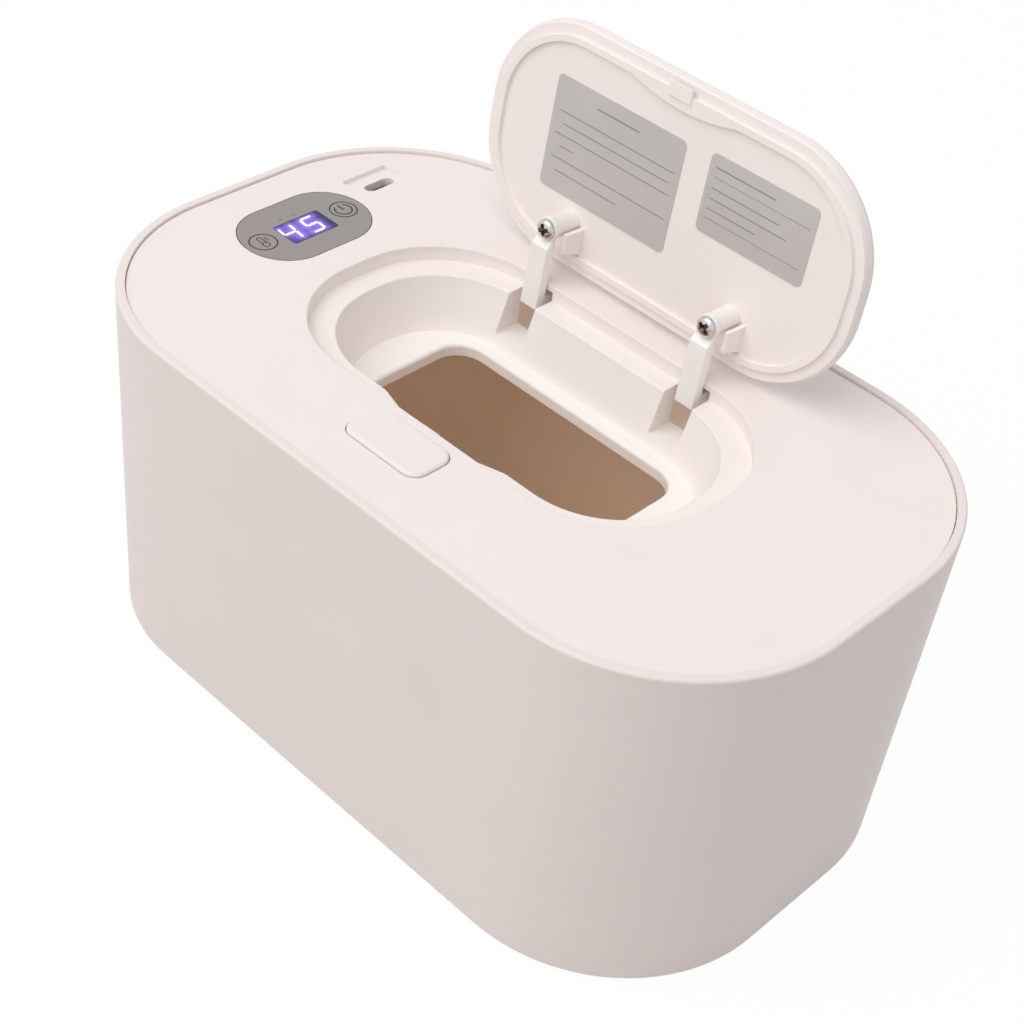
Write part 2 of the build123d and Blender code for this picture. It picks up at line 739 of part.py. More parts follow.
with BuildPart() as control_board:
    with BuildSketch(board_plane.offset(board_under)):
        outline(board_length, board_width, board_corner)
    extrude(amount=board_thickness)
    post(board_screw_places, small_screw_radius + screw_gap, board_under, board_top, Mode.SUBTRACT)
write(control_board, "control_board")

with BuildPart() as control_film:
    with BuildSketch(key_plane.offset(panel_top - key_film_thickness)):
        outline(key_film_length, key_film_width, key_film_corner)
    extrude(amount=key_film_thickness)
    with BuildSketch(lens_plane.offset(panel_top - key_film_thickness)):
        outline(lens_length, lens_width, lens_corner, -lens_gap)
    extrude(amount=key_film_thickness, mode=Mode.SUBTRACT)
write(control_film, "control_film")

with BuildPart() as display_lens:
    with BuildSketch(lens_plane.offset(panel_under)):
        outline(lens_length, lens_width, lens_corner)
    extrude(amount=panel_thickness)
write(display_lens, "display_lens")

with BuildPart() as display_module:
    with BuildSketch(lens_plane.offset(board_top)):
        Rectangle(lens_length + 2 * display_margin, lens_width + 2 * display_margin)
    extrude(amount=board_drop)
write(display_module, "display_module")

for name, side in (("touch_pad_front", -1), ("touch_pad_back", 1)):
    with BuildPart() as touch_pad:
        with BuildSketch(Plane((key_film_x, key_film_y + side * touch_pad_y, board_top))):
            Circle(touch_pad_radius)
            Circle(touch_pad_radius - touch_pad_wall, mode=Mode.SUBTRACT)
        extrude(amount=board_drop)
    write(touch_pad, name)

with BuildPart() as usb_socket:
    with BuildSketch(usb_plane.offset(board_top)):
        outline(usb_shell_width, usb_shell_length, usb_shell_width / 2 - usb_end_flat)
    extrude(amount=board_drop - usb_pad_drop - usb_mouth_gap)
    with BuildSketch(usb_plane.offset(board_top + usb_back_wall)):
        outline(usb_shell_width, usb_shell_length, usb_shell_width / 2 - usb_end_flat, usb_shell_wall)
        Rectangle(usb_tongue_width, usb_tongue_length, mode=Mode.SUBTRACT)
    extrude(amount=board_drop, mode=Mode.SUBTRACT)
write(usb_socket, "usb_socket")

# ---- Lid ----
# The side of a locating block: its low end slopes with the basin's wall that it passes.
block_profile = [
    lid_point(block_foot, 0),
    lid_point(block_low, block_height),
    lid_point(block_high, block_height),
    lid_point(block_high, 0),
]
with BuildPart() as lid_outer:
    with BuildSketch(lid_centre.offset(-flange_plate)):
        outline(lid_length, lid_width, lid_corner, -lid_flare * flange_plate / lid_flare_depth)
    extrude(amount=flange_plate - lid_flare_depth, taper=-flare_angle)
    with BuildSketch(lid_centre.offset(-lid_flare_depth)):
        outline(lid_length, lid_width, lid_corner, -lid_flare)
    extrude(amount=lid_flare_depth - lid_thickness)
    fillet(lid_outer.faces().sort_by(Axis(lid_edge_open, lid_normal))[0].edges(), lid_edge_round)
    with BuildSketch(lid_centre.offset(-flange_plate)):
        outline(lid_length, lid_width, lid_corner, lid_wall)
    extrude(amount=flange_plate + lid_wall - lid_thickness, mode=Mode.SUBTRACT)
write(lid_outer, "lid_outer")

with BuildPart() as lid_inner:
    with BuildSketch(lid_centre):
        outline(lid_length, lid_width, lid_corner)
    extrude(amount=-flange_plate, taper=-flare_angle)
    with BuildSketch(lid_centre.offset(-flange_plate)):
        outline(lid_length, lid_width, lid_corner, lid_wall + lid_nest_gap)
    extrude(amount=flange_plate + lid_wall + lid_under_gap - lid_thickness)
    # Rim ridge with its bulge at the latch.
    with BuildSketch(lid_centre):
        outline(lid_length, lid_width, lid_corner, ridge_inset)
        outline(lid_length, lid_width, lid_corner, ridge_inset + ridge_width, Mode.SUBTRACT)
    extrude(amount=ridge_height)
    with BuildSketch(lid_plane):
        with BuildLine():
            ThreePointArc(
                (-bulge_half_width, ridge_line),
                (0, lid_width - bulge_reach),
                (bulge_half_width, ridge_line),
            )
            Line((bulge_half_width, ridge_line), (-bulge_half_width, ridge_line))
        make_face()
    extrude(amount=ridge_height)
    # Catch: a tongue over the lid's land, open towards the front edge.
    with BuildSketch(lid_plane):
        with Locations((catch_x, (catch_back + lid_width - ridge_inset) / 2)):
            Rectangle(catch_width, lid_width - ridge_inset - catch_back)
    extrude(amount=catch_gap + catch_lip)
    with BuildSketch(lid_plane.offset(catch_gap)):
        with Locations((catch_x, (catch_back + lid_width - catch_tip) / 2)):
            Rectangle(catch_width, lid_width - catch_tip - catch_back)
    extrude(amount=catch_lip)
    # Screw bosses and locating blocks for the hinge arms.
    for x in arm_places:
        with BuildSketch(lid_plane):
            with Locations((x + eyelet_shift, eyelet_v)):
                Circle(arm_boss_radius)
        extrude(amount=arm_back)
        with BuildSketch(Plane.YZ.offset(x + block_offset)):
            with BuildLine():
                Polyline(*block_profile, close=True)
            make_face()
        extrude(amount=block_width)
        with BuildSketch(lid_plane.offset(arm_back)):
            with Locations((x + eyelet_shift, eyelet_v)):
                Circle(screw_radius)
        extrude(amount=-arm_screw_bite, mode=Mode.SUBTRACT)
write(lid_inner, "lid_inner")

labels = (
    ("label_large", label_large_share, label_large_place),
    ("label_small", label_small_share, label_small_place),
)
for name, share, place in labels:
    with BuildPart() as label:
        with BuildSketch(lid_plane):
            with Locations((place[0] * lid_length, place[1] * lid_width)):
                RectangleRounded(share[0] * lid_length, share[1] * lid_width, label_corner)
        extrude(amount=label_thickness)
    write(label, name)

# ---- Hinge ----
elbow_v = (link_z - arm_thickness / 2 - lid_point(0, arm_front)[1]) / math.cos(lean)
inner_v = (link_z + arm_thickness / 2 - lid_point(0, arm_back)[1]) / math.cos(lean)
arm_profile = [
    lid_point(eyelet_v, tab_front),
    lid_point(shoulder_v + arm_front - tab_front, tab_front),
    lid_point(shoulder_v, arm_front),
    lid_point(elbow_v, arm_front),
    (hinge_y, link_z - arm_thickness / 2),
    (hinge_y, link_z + arm_thickness / 2),
    lid_point(inner_v, arm_back),
    lid_point(eyelet_v, arm_back),
]
for name, x in zip(("hinge_arm_left", "hinge_arm_right"), arm_places):
    with BuildPart() as hinge_arm:
        with BuildSketch(Plane.YZ.offset(x)):
            with BuildLine():
                Polyline(*arm_profile, close=True)
            make_face()
            with Locations((hinge_y, hinge_z)):
                Circle(arm_eye_radius)
                Circle(pin_radius + pin_clearance, mode=Mode.SUBTRACT)
        extrude(amount=arm_width / 2, both=True)
        with BuildSketch(lid_plane.offset(arm_back)):
            with Locations((x + eyelet_shift, eyelet_v)):
                Circle(eyelet_radius)
        extrude(amount=tab_thickness)
        with BuildSketch(lid_plane.offset(arm_back)):
            with Locations((x + eyelet_shift, eyelet_v)):
                Circle(screw_radius + screw_gap)
        extrude(amount=tab_thickness, mode=Mode.SUBTRACT)
    write(hinge_arm, name)

for name, side in (("hinge_pin_left", -1), ("hinge_pin_right", 1)):
    inner_end = side * (arm_spread - lug_far - lug_wall / 2)
    with BuildPart() as hinge_pin:
        with BuildSketch(Plane(origin=(inner_end, hinge_y, hinge_z), z_dir=(side, 0, 0))):
            Circle(pin_radius)
        extrude(amount=lug_near + lug_far + lug_wall)
    write(hinge_pin, name)

# Each torsion spring is wound inwards from its arm: one leg runs forward beside the arm's link,
# the other rises to the underside of the panel.
coil_start = Plane(
    origin=(-arm_spread + arm_width / 2 + spring_gap + spring_wire, hinge_y, hinge_z),
    x_dir=(0, 0, -1),
    z_dir=(1, 0, 0),
)
coil = coil_start * Helix(spring_pitch, spring_pitch * spring_turns, spring_coil_radius)
with BuildPart() as hinge_spring_left:
    with BuildLine() as spring_path:
        Line(coil @ 0 - (coil % 0) * spring_leg, coil @ 0)
        add(coil)
        Line(coil @ 1, coil @ 1 + (coil % 1) * spring_rise)
    with BuildSketch(Plane(origin=spring_path.wire() @ 0, z_dir=spring_path.wire() % 0)):
        Circle(spring_wire)
    sweep(path=spring_path.wire())
write(hinge_spring_left, "hinge_spring_left")

with BuildPart() as hinge_spring_right:
    mirror(hinge_spring_left.part, about=Plane.YZ)
write(hinge_spring_right, "hinge_spring_right")

with BuildPart() as arm_screws:
    for x in arm_places:
        spot = lid_plane.from_local_coords((x + eyelet_shift, eyelet_v, tab_front))
        place = Plane(origin=spot, x_dir=(1, 0, 0), z_dir=lid_normal)
        screw(place, screw_shank, screw_head_radius, screw_head_height, arm_screw_length)
write(arm_screws, "arm_screws")

# ---- Button and latch ----
with BuildPart() as latch_button:
    with BuildSketch(button_plane.offset(skirt_under)):
        outline(button_length, button_width, button_corner)
    extrude(amount=button_top - skirt_under)
    fillet(level_face(latch_button, button_top).edges(), button_round)
    with BuildSketch(button_plane.offset(skirt_under)):
        Rectangle(button_length + 2 * button_skirt, button_width - 2 * button_corner)
    extrude(amount=button_skirt_height)
    with BuildSketch(button_plane.offset(skirt_under)):
        outline(button_length, button_width, button_corner, button_wall)
    extrude(amount=button_ceiling - skirt_under, mode=Mode.SUBTRACT)
    # Fork with a cross pin that drives the latch through its sloping slot.
    for side in (-1, 1):
        fork_x = sorted((side * fork_inner, side * (fork_inner + fork_wall)))
        box(*fork_x, cam_y - fork_half, cam_y + fork_half, cam_z - fork_half, button_ceiling)
    with BuildSketch(Plane.YZ):
        with Locations((cam_y, cam_z)):
            Circle(cam_pin_radius)
    extrude(amount=fork_inner + fork_wall / 2, both=True)
write(latch_button, "latch_button")

with BuildPart() as latch_slider:
    box(-latch_half_width, latch_half_width, latch_back_y, latch_front_y, latch_under, latch_top)
    tooth_x = (catch_x - tooth_width / 2, catch_x + tooth_width / 2)
    box(*tooth_x, latch_front_y - tooth_post, latch_front_y, latch_top, tooth_top)
    box(*tooth_x, latch_front_y, tooth_tip_y, tooth_top - tooth_thickness, tooth_top)
    # Web with the sloping slot: the pin going down draws the latch towards the front.
    box(-web_half, web_half, cam_y - web_reach, cam_y + web_reach, web_bottom, latch_under)
    for side in (-1, 1):
        window_x = sorted((side * (fork_inner - fork_gap), side * (fork_inner + fork_wall + fork_gap)))
        window_y = (cam_y - fork_half - fork_gap, cam_y + fork_half + fork_gap + button_travel)
        box(*window_x, *window_y, latch_under, latch_top, Mode.SUBTRACT)
    with BuildSketch(Plane.YZ):
        with Locations((cam_y + button_travel / 2, cam_z - button_travel / 2)):
            SlotCenterToCenter(button_travel * math.sqrt(2), 2 * (cam_pin_radius + cam_gap), rotation=-45)
    extrude(amount=web_half, both=True, mode=Mode.SUBTRACT)
    across = latch_slider.edges().filter_by(Axis.X)
    tip = across.filter_by_position(Axis.Y, tooth_tip_y - near, tooth_tip_y + near)
    fillet(tip.filter_by_position(Axis.Z, tooth_top - near, tooth_top + near), tooth_round)
write(latch_slider, "latch_slider")

with BuildPart() as latch_housing:
    floor_z = housing_floor_top - housing_wall
    box(-housing_half, housing_half, housing_back_y, housing_front_y, floor_z, panel_under)
    inner_x = housing_half - housing_wall
    inner_y = (housing_back_y + housing_wall, housing_front_y)
    box(-inner_x, inner_x, *inner_y, housing_floor_top, panel_under, Mode.SUBTRACT)
    for side in (-1, 1):
        rail_x = sorted((side * rail_inner, side * (rail_inner + rail_wall)))
        box(*rail_x, *inner_y, housing_floor_top, latch_under - rail_gap)
        ear_x = sorted((side * housing_half, side * (housing_half + housing_ear)))
        ear_y = (button_y - housing_ear / 2, button_y + housing_ear / 2)
        box(*ear_x, *ear_y, ear_top - ear_thickness, ear_top)
    post(ear_places, small_screw_radius + screw_gap, ear_top - ear_thickness, ear_top, Mode.SUBTRACT)
write(latch_housing, "latch_housing")

spring_height = button_ceiling - housing_floor_top - 2 * return_spring_wire
for name, side in (("button_spring_left", -1), ("button_spring_right", 1)):
    foot = (side * return_spring_x, button_y, housing_floor_top + return_spring_wire)
    with BuildPart() as button_spring:
        with BuildLine() as spring_line:
            Helix(return_spring_pitch, spring_height, return_spring_radius, center=foot)
        with BuildSketch(Plane(origin=spring_line.edge() @ 0, z_dir=spring_line.edge() % 0)):
            Circle(return_spring_wire)
        sweep(path=spring_line.edge())
    write(button_spring, name)

# ---- Screws ----
with BuildPart() as tray_screws:
    for x, y in tray_screw_places:
        place = Plane(origin=(x, y, tray_under), z_dir=(0, 0, -1))
        screw(place, screw_shank, screw_head_radius, screw_head_height, tray_screw_length)
write(tray_screws, "tray_screws")

with BuildPart() as board_screws:
    for x, y in board_screw_places:
        place = Plane(origin=(x, y, board_under), z_dir=(0, 0, -1))
        screw(place, small_shank, small_head_radius, small_head_height, small_screw_length)
write(board_screws, "board_screws")

with BuildPart() as latch_screws:
    for x, y in ear_places:
        place = Plane(origin=(x, y, ear_top - ear_thickness), z_dir=(0, 0, -1))
        screw(place, small_shank, small_head_radius, small_head_height, small_screw_length)
write(latch_screws, "latch_screws")
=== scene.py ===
"""Finishes, printed marks, display, screws and stage for a baby wipe warmer with its lid open."""

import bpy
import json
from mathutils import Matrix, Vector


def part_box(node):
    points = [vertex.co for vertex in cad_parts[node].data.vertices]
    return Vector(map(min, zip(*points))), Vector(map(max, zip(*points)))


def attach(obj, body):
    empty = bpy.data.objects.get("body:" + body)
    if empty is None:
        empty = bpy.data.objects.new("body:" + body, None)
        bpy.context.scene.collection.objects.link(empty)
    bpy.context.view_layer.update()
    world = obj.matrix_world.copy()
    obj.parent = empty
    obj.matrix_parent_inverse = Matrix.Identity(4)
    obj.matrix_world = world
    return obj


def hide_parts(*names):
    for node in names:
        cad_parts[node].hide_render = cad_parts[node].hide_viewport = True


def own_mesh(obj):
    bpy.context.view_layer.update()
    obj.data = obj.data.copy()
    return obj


bl_info = {
    "name": "Wipe warmer looks",
    "version": (1, 0, 0),
    "blender": (4, 5, 0),
    "location": "View3D > Sidebar > Wipe warmer",
    "description": "Dresses the packed wipe warmer: finishes, marks, display, screws and stage",
    "category": "Object",
}

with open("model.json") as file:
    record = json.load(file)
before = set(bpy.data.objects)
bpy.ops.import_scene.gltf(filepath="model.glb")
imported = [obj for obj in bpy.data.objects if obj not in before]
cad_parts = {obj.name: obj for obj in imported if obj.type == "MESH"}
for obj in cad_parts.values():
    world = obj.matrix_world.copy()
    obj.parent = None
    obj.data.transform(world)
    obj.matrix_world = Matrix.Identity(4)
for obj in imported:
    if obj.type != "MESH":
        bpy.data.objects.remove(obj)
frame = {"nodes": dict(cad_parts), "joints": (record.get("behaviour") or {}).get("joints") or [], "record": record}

import json
import math

import bmesh
import bpy
from mathutils import Matrix, Vector

MM = 0.001
NODES = frame["nodes"]
JOINTS = {joint["name"]: joint for joint in frame["joints"]}
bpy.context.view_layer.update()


# ---- Places worked out from the frame ----
def centre_of(node):
    """The middle of a CAD node's box."""
    low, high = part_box(node)
    return (low + high) / 2


def seat(origin, across, up):
    """A flat work plane as a matrix: x runs across, y runs up and z stands out of it."""
    x_axis, y_axis = Vector(across).normalized(), Vector(up).normalized()
    z_axis = x_axis.cross(y_axis)
    place = Matrix((x_axis, y_axis, z_axis)).transposed().to_4x4()
    place.translation = Vector(origin)
    return place


OPEN_ANGLE = math.radians(JOINTS["lid_hinge"]["range_deg"][1])
LEAN = OPEN_ANGLE - math.pi / 2
LID_UP = Vector((0, math.sin(LEAN), math.cos(LEAN)))
LID_OUT = Vector((0, -math.cos(LEAN), math.sin(LEAN)))


def on_lid(node):
    """A label's printed face as a plane at its middle, with the label's width and height."""
    points = [vertex.co for vertex in NODES[node].data.vertices]
    middle = centre_of(node)
    face = max(point.dot(LID_OUT) for point in points)
    ups = [point.dot(LID_UP) for point in points]
    xs = [point.x for point in points]
    origin = Vector((middle.x, 0, 0)) + LID_UP * (max(ups) + min(ups)) / 2 + LID_OUT * face
    return seat(origin, (1, 0, 0), LID_UP), max(xs) - min(xs), max(ups) - min(ups)


PANEL_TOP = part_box("control_film")[1].z
FILM = centre_of("control_film")
LENS = centre_of("display_lens")
# The display is read from the lid's side: its lines run along +Y and its figures stand towards -X.
DISPLAY = seat((LENS.x, LENS.y, PANEL_TOP), (0, 1, 0), (-1, 0, 0))
RIM_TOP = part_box("outer_shell")[1].z


# The lit bars of the display's figures, each from corner to corner: -1, 0 or 1 across and up.
BARS = {
    "top": ((-1, 1), (1, 1)), "upper right": ((1, 1), (1, 0)), "lower right": ((1, 0), (1, -1)),
    "bottom": ((-1, -1), (1, -1)), "upper left": ((-1, 1), (-1, 0)), "middle": ((-1, 0), (1, 0)),
}
FIGURES = {
    "4": ("upper right", "lower right", "upper left", "middle"),
    "5": ("top", "lower right", "bottom", "upper left", "middle"),
}
SHOWN = "45"
FIGURE_PITCH = 7.3 * MM
FIGURE_SHIFT = -1.4 * MM    # middle of the two figures from the window's middle
FIGURE_SLANT = 0.107        # sideways lean for each unit of height
PRINT_SUNK = 0.05 * MM      # how far printed marks reach into what carries them


def lit_bars():
    """The lit bars of the display's figures, each as its two ends on the display's plane."""
    half_w = (sizes().digit_width - sizes().digit_stroke) / 2
    half_h = (sizes().digit_height - sizes().digit_stroke) / 2
    bars = []
    for i, figure in enumerate(SHOWN):
        middle = FIGURE_SHIFT + (i - 0.5) * FIGURE_PITCH
        for key in FIGURES[figure]:
            bars.append([
                Vector((middle + across * half_w + FIGURE_SLANT * up * half_h, up * half_h))
                for across, up in BARS[key]
            ])
    return bars


# ---- Settings ----
class WarmerColours(bpy.types.PropertyGroup):
    """Colours of the warmer's finishes."""

    shell: bpy.props.FloatVectorProperty(
        name="Shell", description="Moulded tub", subtype="COLOR", size=3, min=0, max=1,
        default=(0.86, 0.775, 0.75),
    )
    cover: bpy.props.FloatVectorProperty(
        name="Cover", description="Moulded top cover, lid skin and button", subtype="COLOR", size=3,
        min=0, max=1, default=(0.905, 0.825, 0.81),
    )
    # Painted light: the cover's plastic made lighter, for less shade on the sunk walls and floor.
    basin: bpy.props.FloatVectorProperty(
        name="Basin", description="Sunk walls and floor of the cover", subtype="COLOR", size=3,
        min=0, max=1, default=(0.965, 0.905, 0.87),
    )
    lid_inner: bpy.props.FloatVectorProperty(
        name="Lid inside", description="Moulded inner plate of the lid", subtype="COLOR", size=3,
        min=0, max=1, default=(0.95, 0.88, 0.845),
    )
    # Partly painted shade: the inner tub is off-white plastic, made tan here for the warm shade deep inside it.
    liner: bpy.props.FloatVectorProperty(
        name="Liner", description="Inner tub", subtype="COLOR", size=3, min=0, max=1,
        default=(0.80, 0.62, 0.48),
    )
    tray: bpy.props.FloatVectorProperty(
        name="Tray", description="Tray under the top cover", subtype="COLOR", size=3, min=0, max=1,
        default=(0.86, 0.76, 0.68),
    )
    arm: bpy.props.FloatVectorProperty(
        name="Hinge arm", description="Cloudy nylon of the hinge arms", subtype="COLOR", size=3,
        min=0, max=1, default=(0.99, 0.95, 0.92),
    )
    film: bpy.props.FloatVectorProperty(
        name="Key film", description="Grey film over the touch keys", subtype="COLOR", size=3,
        min=0, max=1, default=(0.305, 0.278, 0.265),
    )
    label: bpy.props.FloatVectorProperty(
        name="Label", description="Silver-grey label stock", subtype="COLOR", size=3, min=0, max=1,
        default=(0.575, 0.55, 0.54),
    )
    ink: bpy.props.FloatVectorProperty(
        name="Ink", description="Printed marks", subtype="COLOR", size=3, min=0, max=1,
        default=(0.022, 0.019, 0.018),
    )
    glow: bpy.props.FloatVectorProperty(
        name="Glow", description="Light spread inside the display window", subtype="COLOR", size=3,
        min=0, max=1, default=(0.115, 0.072, 0.50),
    )


class WarmerSizes(bpy.types.PropertyGroup):
    """Sizes of the printed and added details."""

    edge_round: bpy.props.FloatProperty(
        name="Edge round", description="Softening of the small moulded edges", unit="LENGTH",
        default=0.22 * MM, min=0,
    )
    wide_round: bpy.props.FloatProperty(
        name="Wide edge round", description="Softening of the cover's and the lid plate's edges",
        unit="LENGTH", default=0.40 * MM, min=0,
    )
    screw_height: bpy.props.FloatProperty(
        name="Screw head height", description="Height of an arm screw's domed head", unit="LENGTH",
        default=1.75 * MM, min=0,
    )
    screw_cross: bpy.props.FloatProperty(
        name="Screw cross", description="Reach of the cross recess from the screw's axis",
        unit="LENGTH", default=1.8 * MM, min=0,
    )
    digit_height: bpy.props.FloatProperty(
        name="Figure height", description="Height of a display figure", unit="LENGTH",
        default=7.1 * MM, min=0,
    )
    digit_width: bpy.props.FloatProperty(
        name="Figure width", description="Width of a display figure", unit="LENGTH",
        default=4.3 * MM, min=0,
    )
    digit_stroke: bpy.props.FloatProperty(
        name="Figure stroke", description="Width of one lit bar", unit="LENGTH",
        default=0.62 * MM, min=0,
    )
    ring_radius: bpy.props.FloatProperty(
        name="Key ring", description="Outer radius of the printed key rings", unit="LENGTH",
        default=3.75 * MM, min=0,
    )
    ring_line: bpy.props.FloatProperty(
        name="Ring line", description="Width of the printed key rings", unit="LENGTH",
        default=0.34 * MM, min=0,
    )
    print_height: bpy.props.FloatProperty(
        name="Print height", description="How far printed marks stand out", unit="LENGTH",
        default=0.02 * MM, min=0,
    )


def colours():
    """The colours set for this scene."""
    return bpy.context.scene.warmer_colours


def sizes():
    """The sizes set for this scene."""
    return bpy.context.scene.warmer_sizes


# ---- Shader maths ----
class Nodes:
    """A node tree, with the one method that adds nodes to it."""

    def __init__(self, tree):
        self.tree = tree

    def connect(self, item, socket):
        """Feeds a socket from a Value, or sets it to a plain number, colour or vector."""
        if isinstance(item, Value):
            self.tree.links.new(item.socket, socket)
        else:
            socket.default_value = item

    def node(self, kind, settings=None, values=None, output=0):
        """Adds a node: its settings first, then its sockets' values or links. Gives one output."""
        node = self.tree.nodes.new(kind)
        for name, value in (settings or {}).items():
            setattr(node, name, value)
        for name, value in (values or {}).items():
            self.connect(value, node.inputs[name])
        return Value(self, node.outputs[output])

    def maths(self, operation, *items, clamp=False):
        """One Math node on numbers and Values."""
        settings = {"operation": operation, "use_clamp": clamp}
        return self.node("ShaderNodeMath", settings, dict(enumerate(items)))

    def backdrop_rays(self):
        """One for rays that see the pale backdrop: from the view, off gloss, past glass."""
        outputs = self.node("ShaderNodeLightPath").socket.node.outputs
        kinds = ("Is Camera Ray", "Is Glossy Ray", "Is Transmission Ray")
        view, gloss, glass = (Value(self, outputs[kind]) for kind in kinds)
        return self.maths("MINIMUM", view + gloss + glass, 1.0)


class Value:
    """A node's output that takes part in plain arithmetic: each operator adds one Math node."""

    def __init__(self, nodes, socket):
        self.nodes = nodes
        self.socket = socket

    def __add__(self, other):
        return self.nodes.maths("ADD", self, other)

    __radd__ = __add__

    def __sub__(self, other):
        return self.nodes.maths("SUBTRACT", self, other)

    def __rsub__(self, other):
        return self.nodes.maths("SUBTRACT", other, self)

    def __mul__(self, other):
        return self.nodes.maths("MULTIPLY", self, other)

    __rmul__ = __mul__

    def __truediv__(self, other):
        return self.nodes.maths("DIVIDE", self, other)

    def __rtruediv__(self, other):
        return self.nodes.maths("DIVIDE", other, self)

    def __gt__(self, other):
        return self.nodes.maths("GREATER_THAN", self, other)

    def __lt__(self, other):
        return self.nodes.maths("LESS_THAN", self, other)

    def __abs__(self):
        return self.nodes.maths("ABSOLUTE", self)


class Finish(Nodes):
    """One material, with the nodes that feed its Principled shader."""

    def __init__(self, name, **constants):
        self.material = bpy.data.materials.new(name)
        self.material.use_nodes = True
        super().__init__(self.material.node_tree)
        self.shader = self.tree.nodes["Principled BSDF"]
        for socket, value in constants.items():
            self.feed(socket.replace("_", " "), value)

    def feed(self, socket, item):
        """Sets or links a socket of the shader."""
        self.connect(item, self.shader.inputs[socket])

    def place(self):
        """Position in the warmer's own frame."""
        return self.node("ShaderNodeTexCoord", output="Object")

    def axes(self):
        """The three coordinates of the position, each as a number."""
        split = self.node("ShaderNodeSeparateXYZ", values={0: self.place()})
        return [Value(self, socket) for socket in split.socket.node.outputs]

    def noise(self, size, detail=2.0, roughness=0.5):
        """Noise whose patches are about size across."""
        return self.node("ShaderNodeTexNoise", values={
            "Vector": self.place(), "Scale": 1 / size, "Detail": detail, "Roughness": roughness,
        })

    def mix(self, mask, first, second):
        """A colour between two others."""
        values = {0: mask, 6: first, 7: second}
        return self.node("ShaderNodeMix", {"data_type": "RGBA"}, values, output=2)

    def bump(self, height, depth):
        """Relief of a depth, from a height of nought to one."""
        values = {"Height": height, "Distance": depth, "Strength": 1.0}
        self.feed("Normal", self.node("ShaderNodeBump", values=values))


def shade(colour, factor):
    """A colour made lighter or darker, with full opacity."""
    return (*[min(1.0, channel * factor) for channel in colour], 1)


# ---- Finishes ----
TONE_PATCH = 38 * MM      # slow drift of tone and gloss over a moulding
GRAIN = 0.30 * MM         # spark-eroded grain of the mould
RIPPLE = 4 * MM           # faint waviness of a moulded face
GRAIN_DEPTH = 0.004 * MM
PAINTED_LIGHT_FADE = 8 * MM       # depth below the panel at which the painted lighter colour is full
# width of the painted shade line round the key film's edge
FILM_EDGE_SHADE_WIDTH = 0.17 * MM
HALO_REACH = 1.9 * MM     # how far a lit bar's light spreads in the window
TRACK_STEP = 1.27 * MM    # the board's copper tracks
PAD_PITCH = 2.6 * MM
HEATER_PITCH = 3.2 * MM   # the heating film's serpentine


def moulded(name, colour, roughness, drift=0.03, through=None, below=None):
    """Satin moulded plastic: a fine spark-eroded grain and a slow drift of tone and gloss.

    A glow tint, where given, is painted light: the moulding glows in it to brighten its shaded inside.
    below: another colour for what lies deeper than the cover's panel, lighter than the cover: painted light that
    takes out shade in the basin.
    """
    finish = Finish(name, IOR=1.49, Specular_IOR_Level=0.42)
    # Painted light: a glow in the given tint stands in for light reaching the shaded inside.
    if through:
        finish.feed("Emission Color", (*through, 1))
        finish.feed("Emission Strength", 1.0)
    slow = finish.noise(TONE_PATCH, 2)
    fine = finish.noise(GRAIN, 3, 0.6)
    face = finish.mix(slow, shade(colour, 1 - drift), shade(colour, 1 + drift))
    # Painted light: deeper than the panel, the colour fades to the lighter basin colour.
    if below:
        depth = finish.maths("DIVIDE", PANEL_TOP - finish.axes()[2], PAINTED_LIGHT_FADE, clamp=True)
        face = finish.mix(depth, face, (*below, 1))
    finish.feed("Base Color", face)
    finish.feed("Roughness", roughness - 0.05 + slow * 0.06 + fine * 0.05)
    finish.bump(fine + finish.noise(RIPPLE, 1) * 0.4, GRAIN_DEPTH)
    return finish.material


def nylon(name, colour):
    """Cloudy natural nylon that lets a little light through."""
    finish = Finish(
        name, IOR=1.53, Subsurface_Weight=0.3, Subsurface_Radius=(0.9, 0.8, 0.7),
        Subsurface_Scale=2.5 * MM, Specular_IOR_Level=0.5,
    )
    cloud = finish.noise(5 * MM, 3)
    finish.feed("Base Color", finish.mix(cloud, shade(colour, 0.95), shade(colour, 1.04)))
    finish.feed("Roughness", 0.30 + cloud * 0.12)
    finish.bump(finish.noise(0.5 * MM, 2), GRAIN_DEPTH)
    return finish.material


def metal(name, colour, roughness):
    """Plated or drawn metal with fine tool marks."""
    finish = Finish(name, Metallic=1.0)
    marks = finish.noise(0.15 * MM, 4, 0.65)
    stain = finish.noise(3 * MM, 2)
    finish.feed("Base Color", finish.mix(stain, shade(colour, 0.86), shade(colour, 1.08)))
    finish.feed("Roughness", roughness - 0.06 + marks * 0.12)
    finish.bump(marks, 0.002 * MM)
    return finish.material


def sheet_metal(name, colour):
    """Rolled aluminium with its grain along the length."""
    finish = Finish(name, Metallic=1.0)
    values = {"Vector": finish.place(), "Scale": (12, 900, 900)}
    stretch = finish.node("ShaderNodeMapping", values=values)
    values = {"Vector": stretch, "Scale": 1.0, "Detail": 3.0}
    grain = finish.node("ShaderNodeTexNoise", values=values)
    finish.feed("Base Color", finish.mix(grain, shade(colour, 0.85), shade(colour, 1.1)))
    finish.feed("Roughness", 0.28 + grain * 0.2)
    finish.bump(grain, 0.003 * MM)
    return finish.material


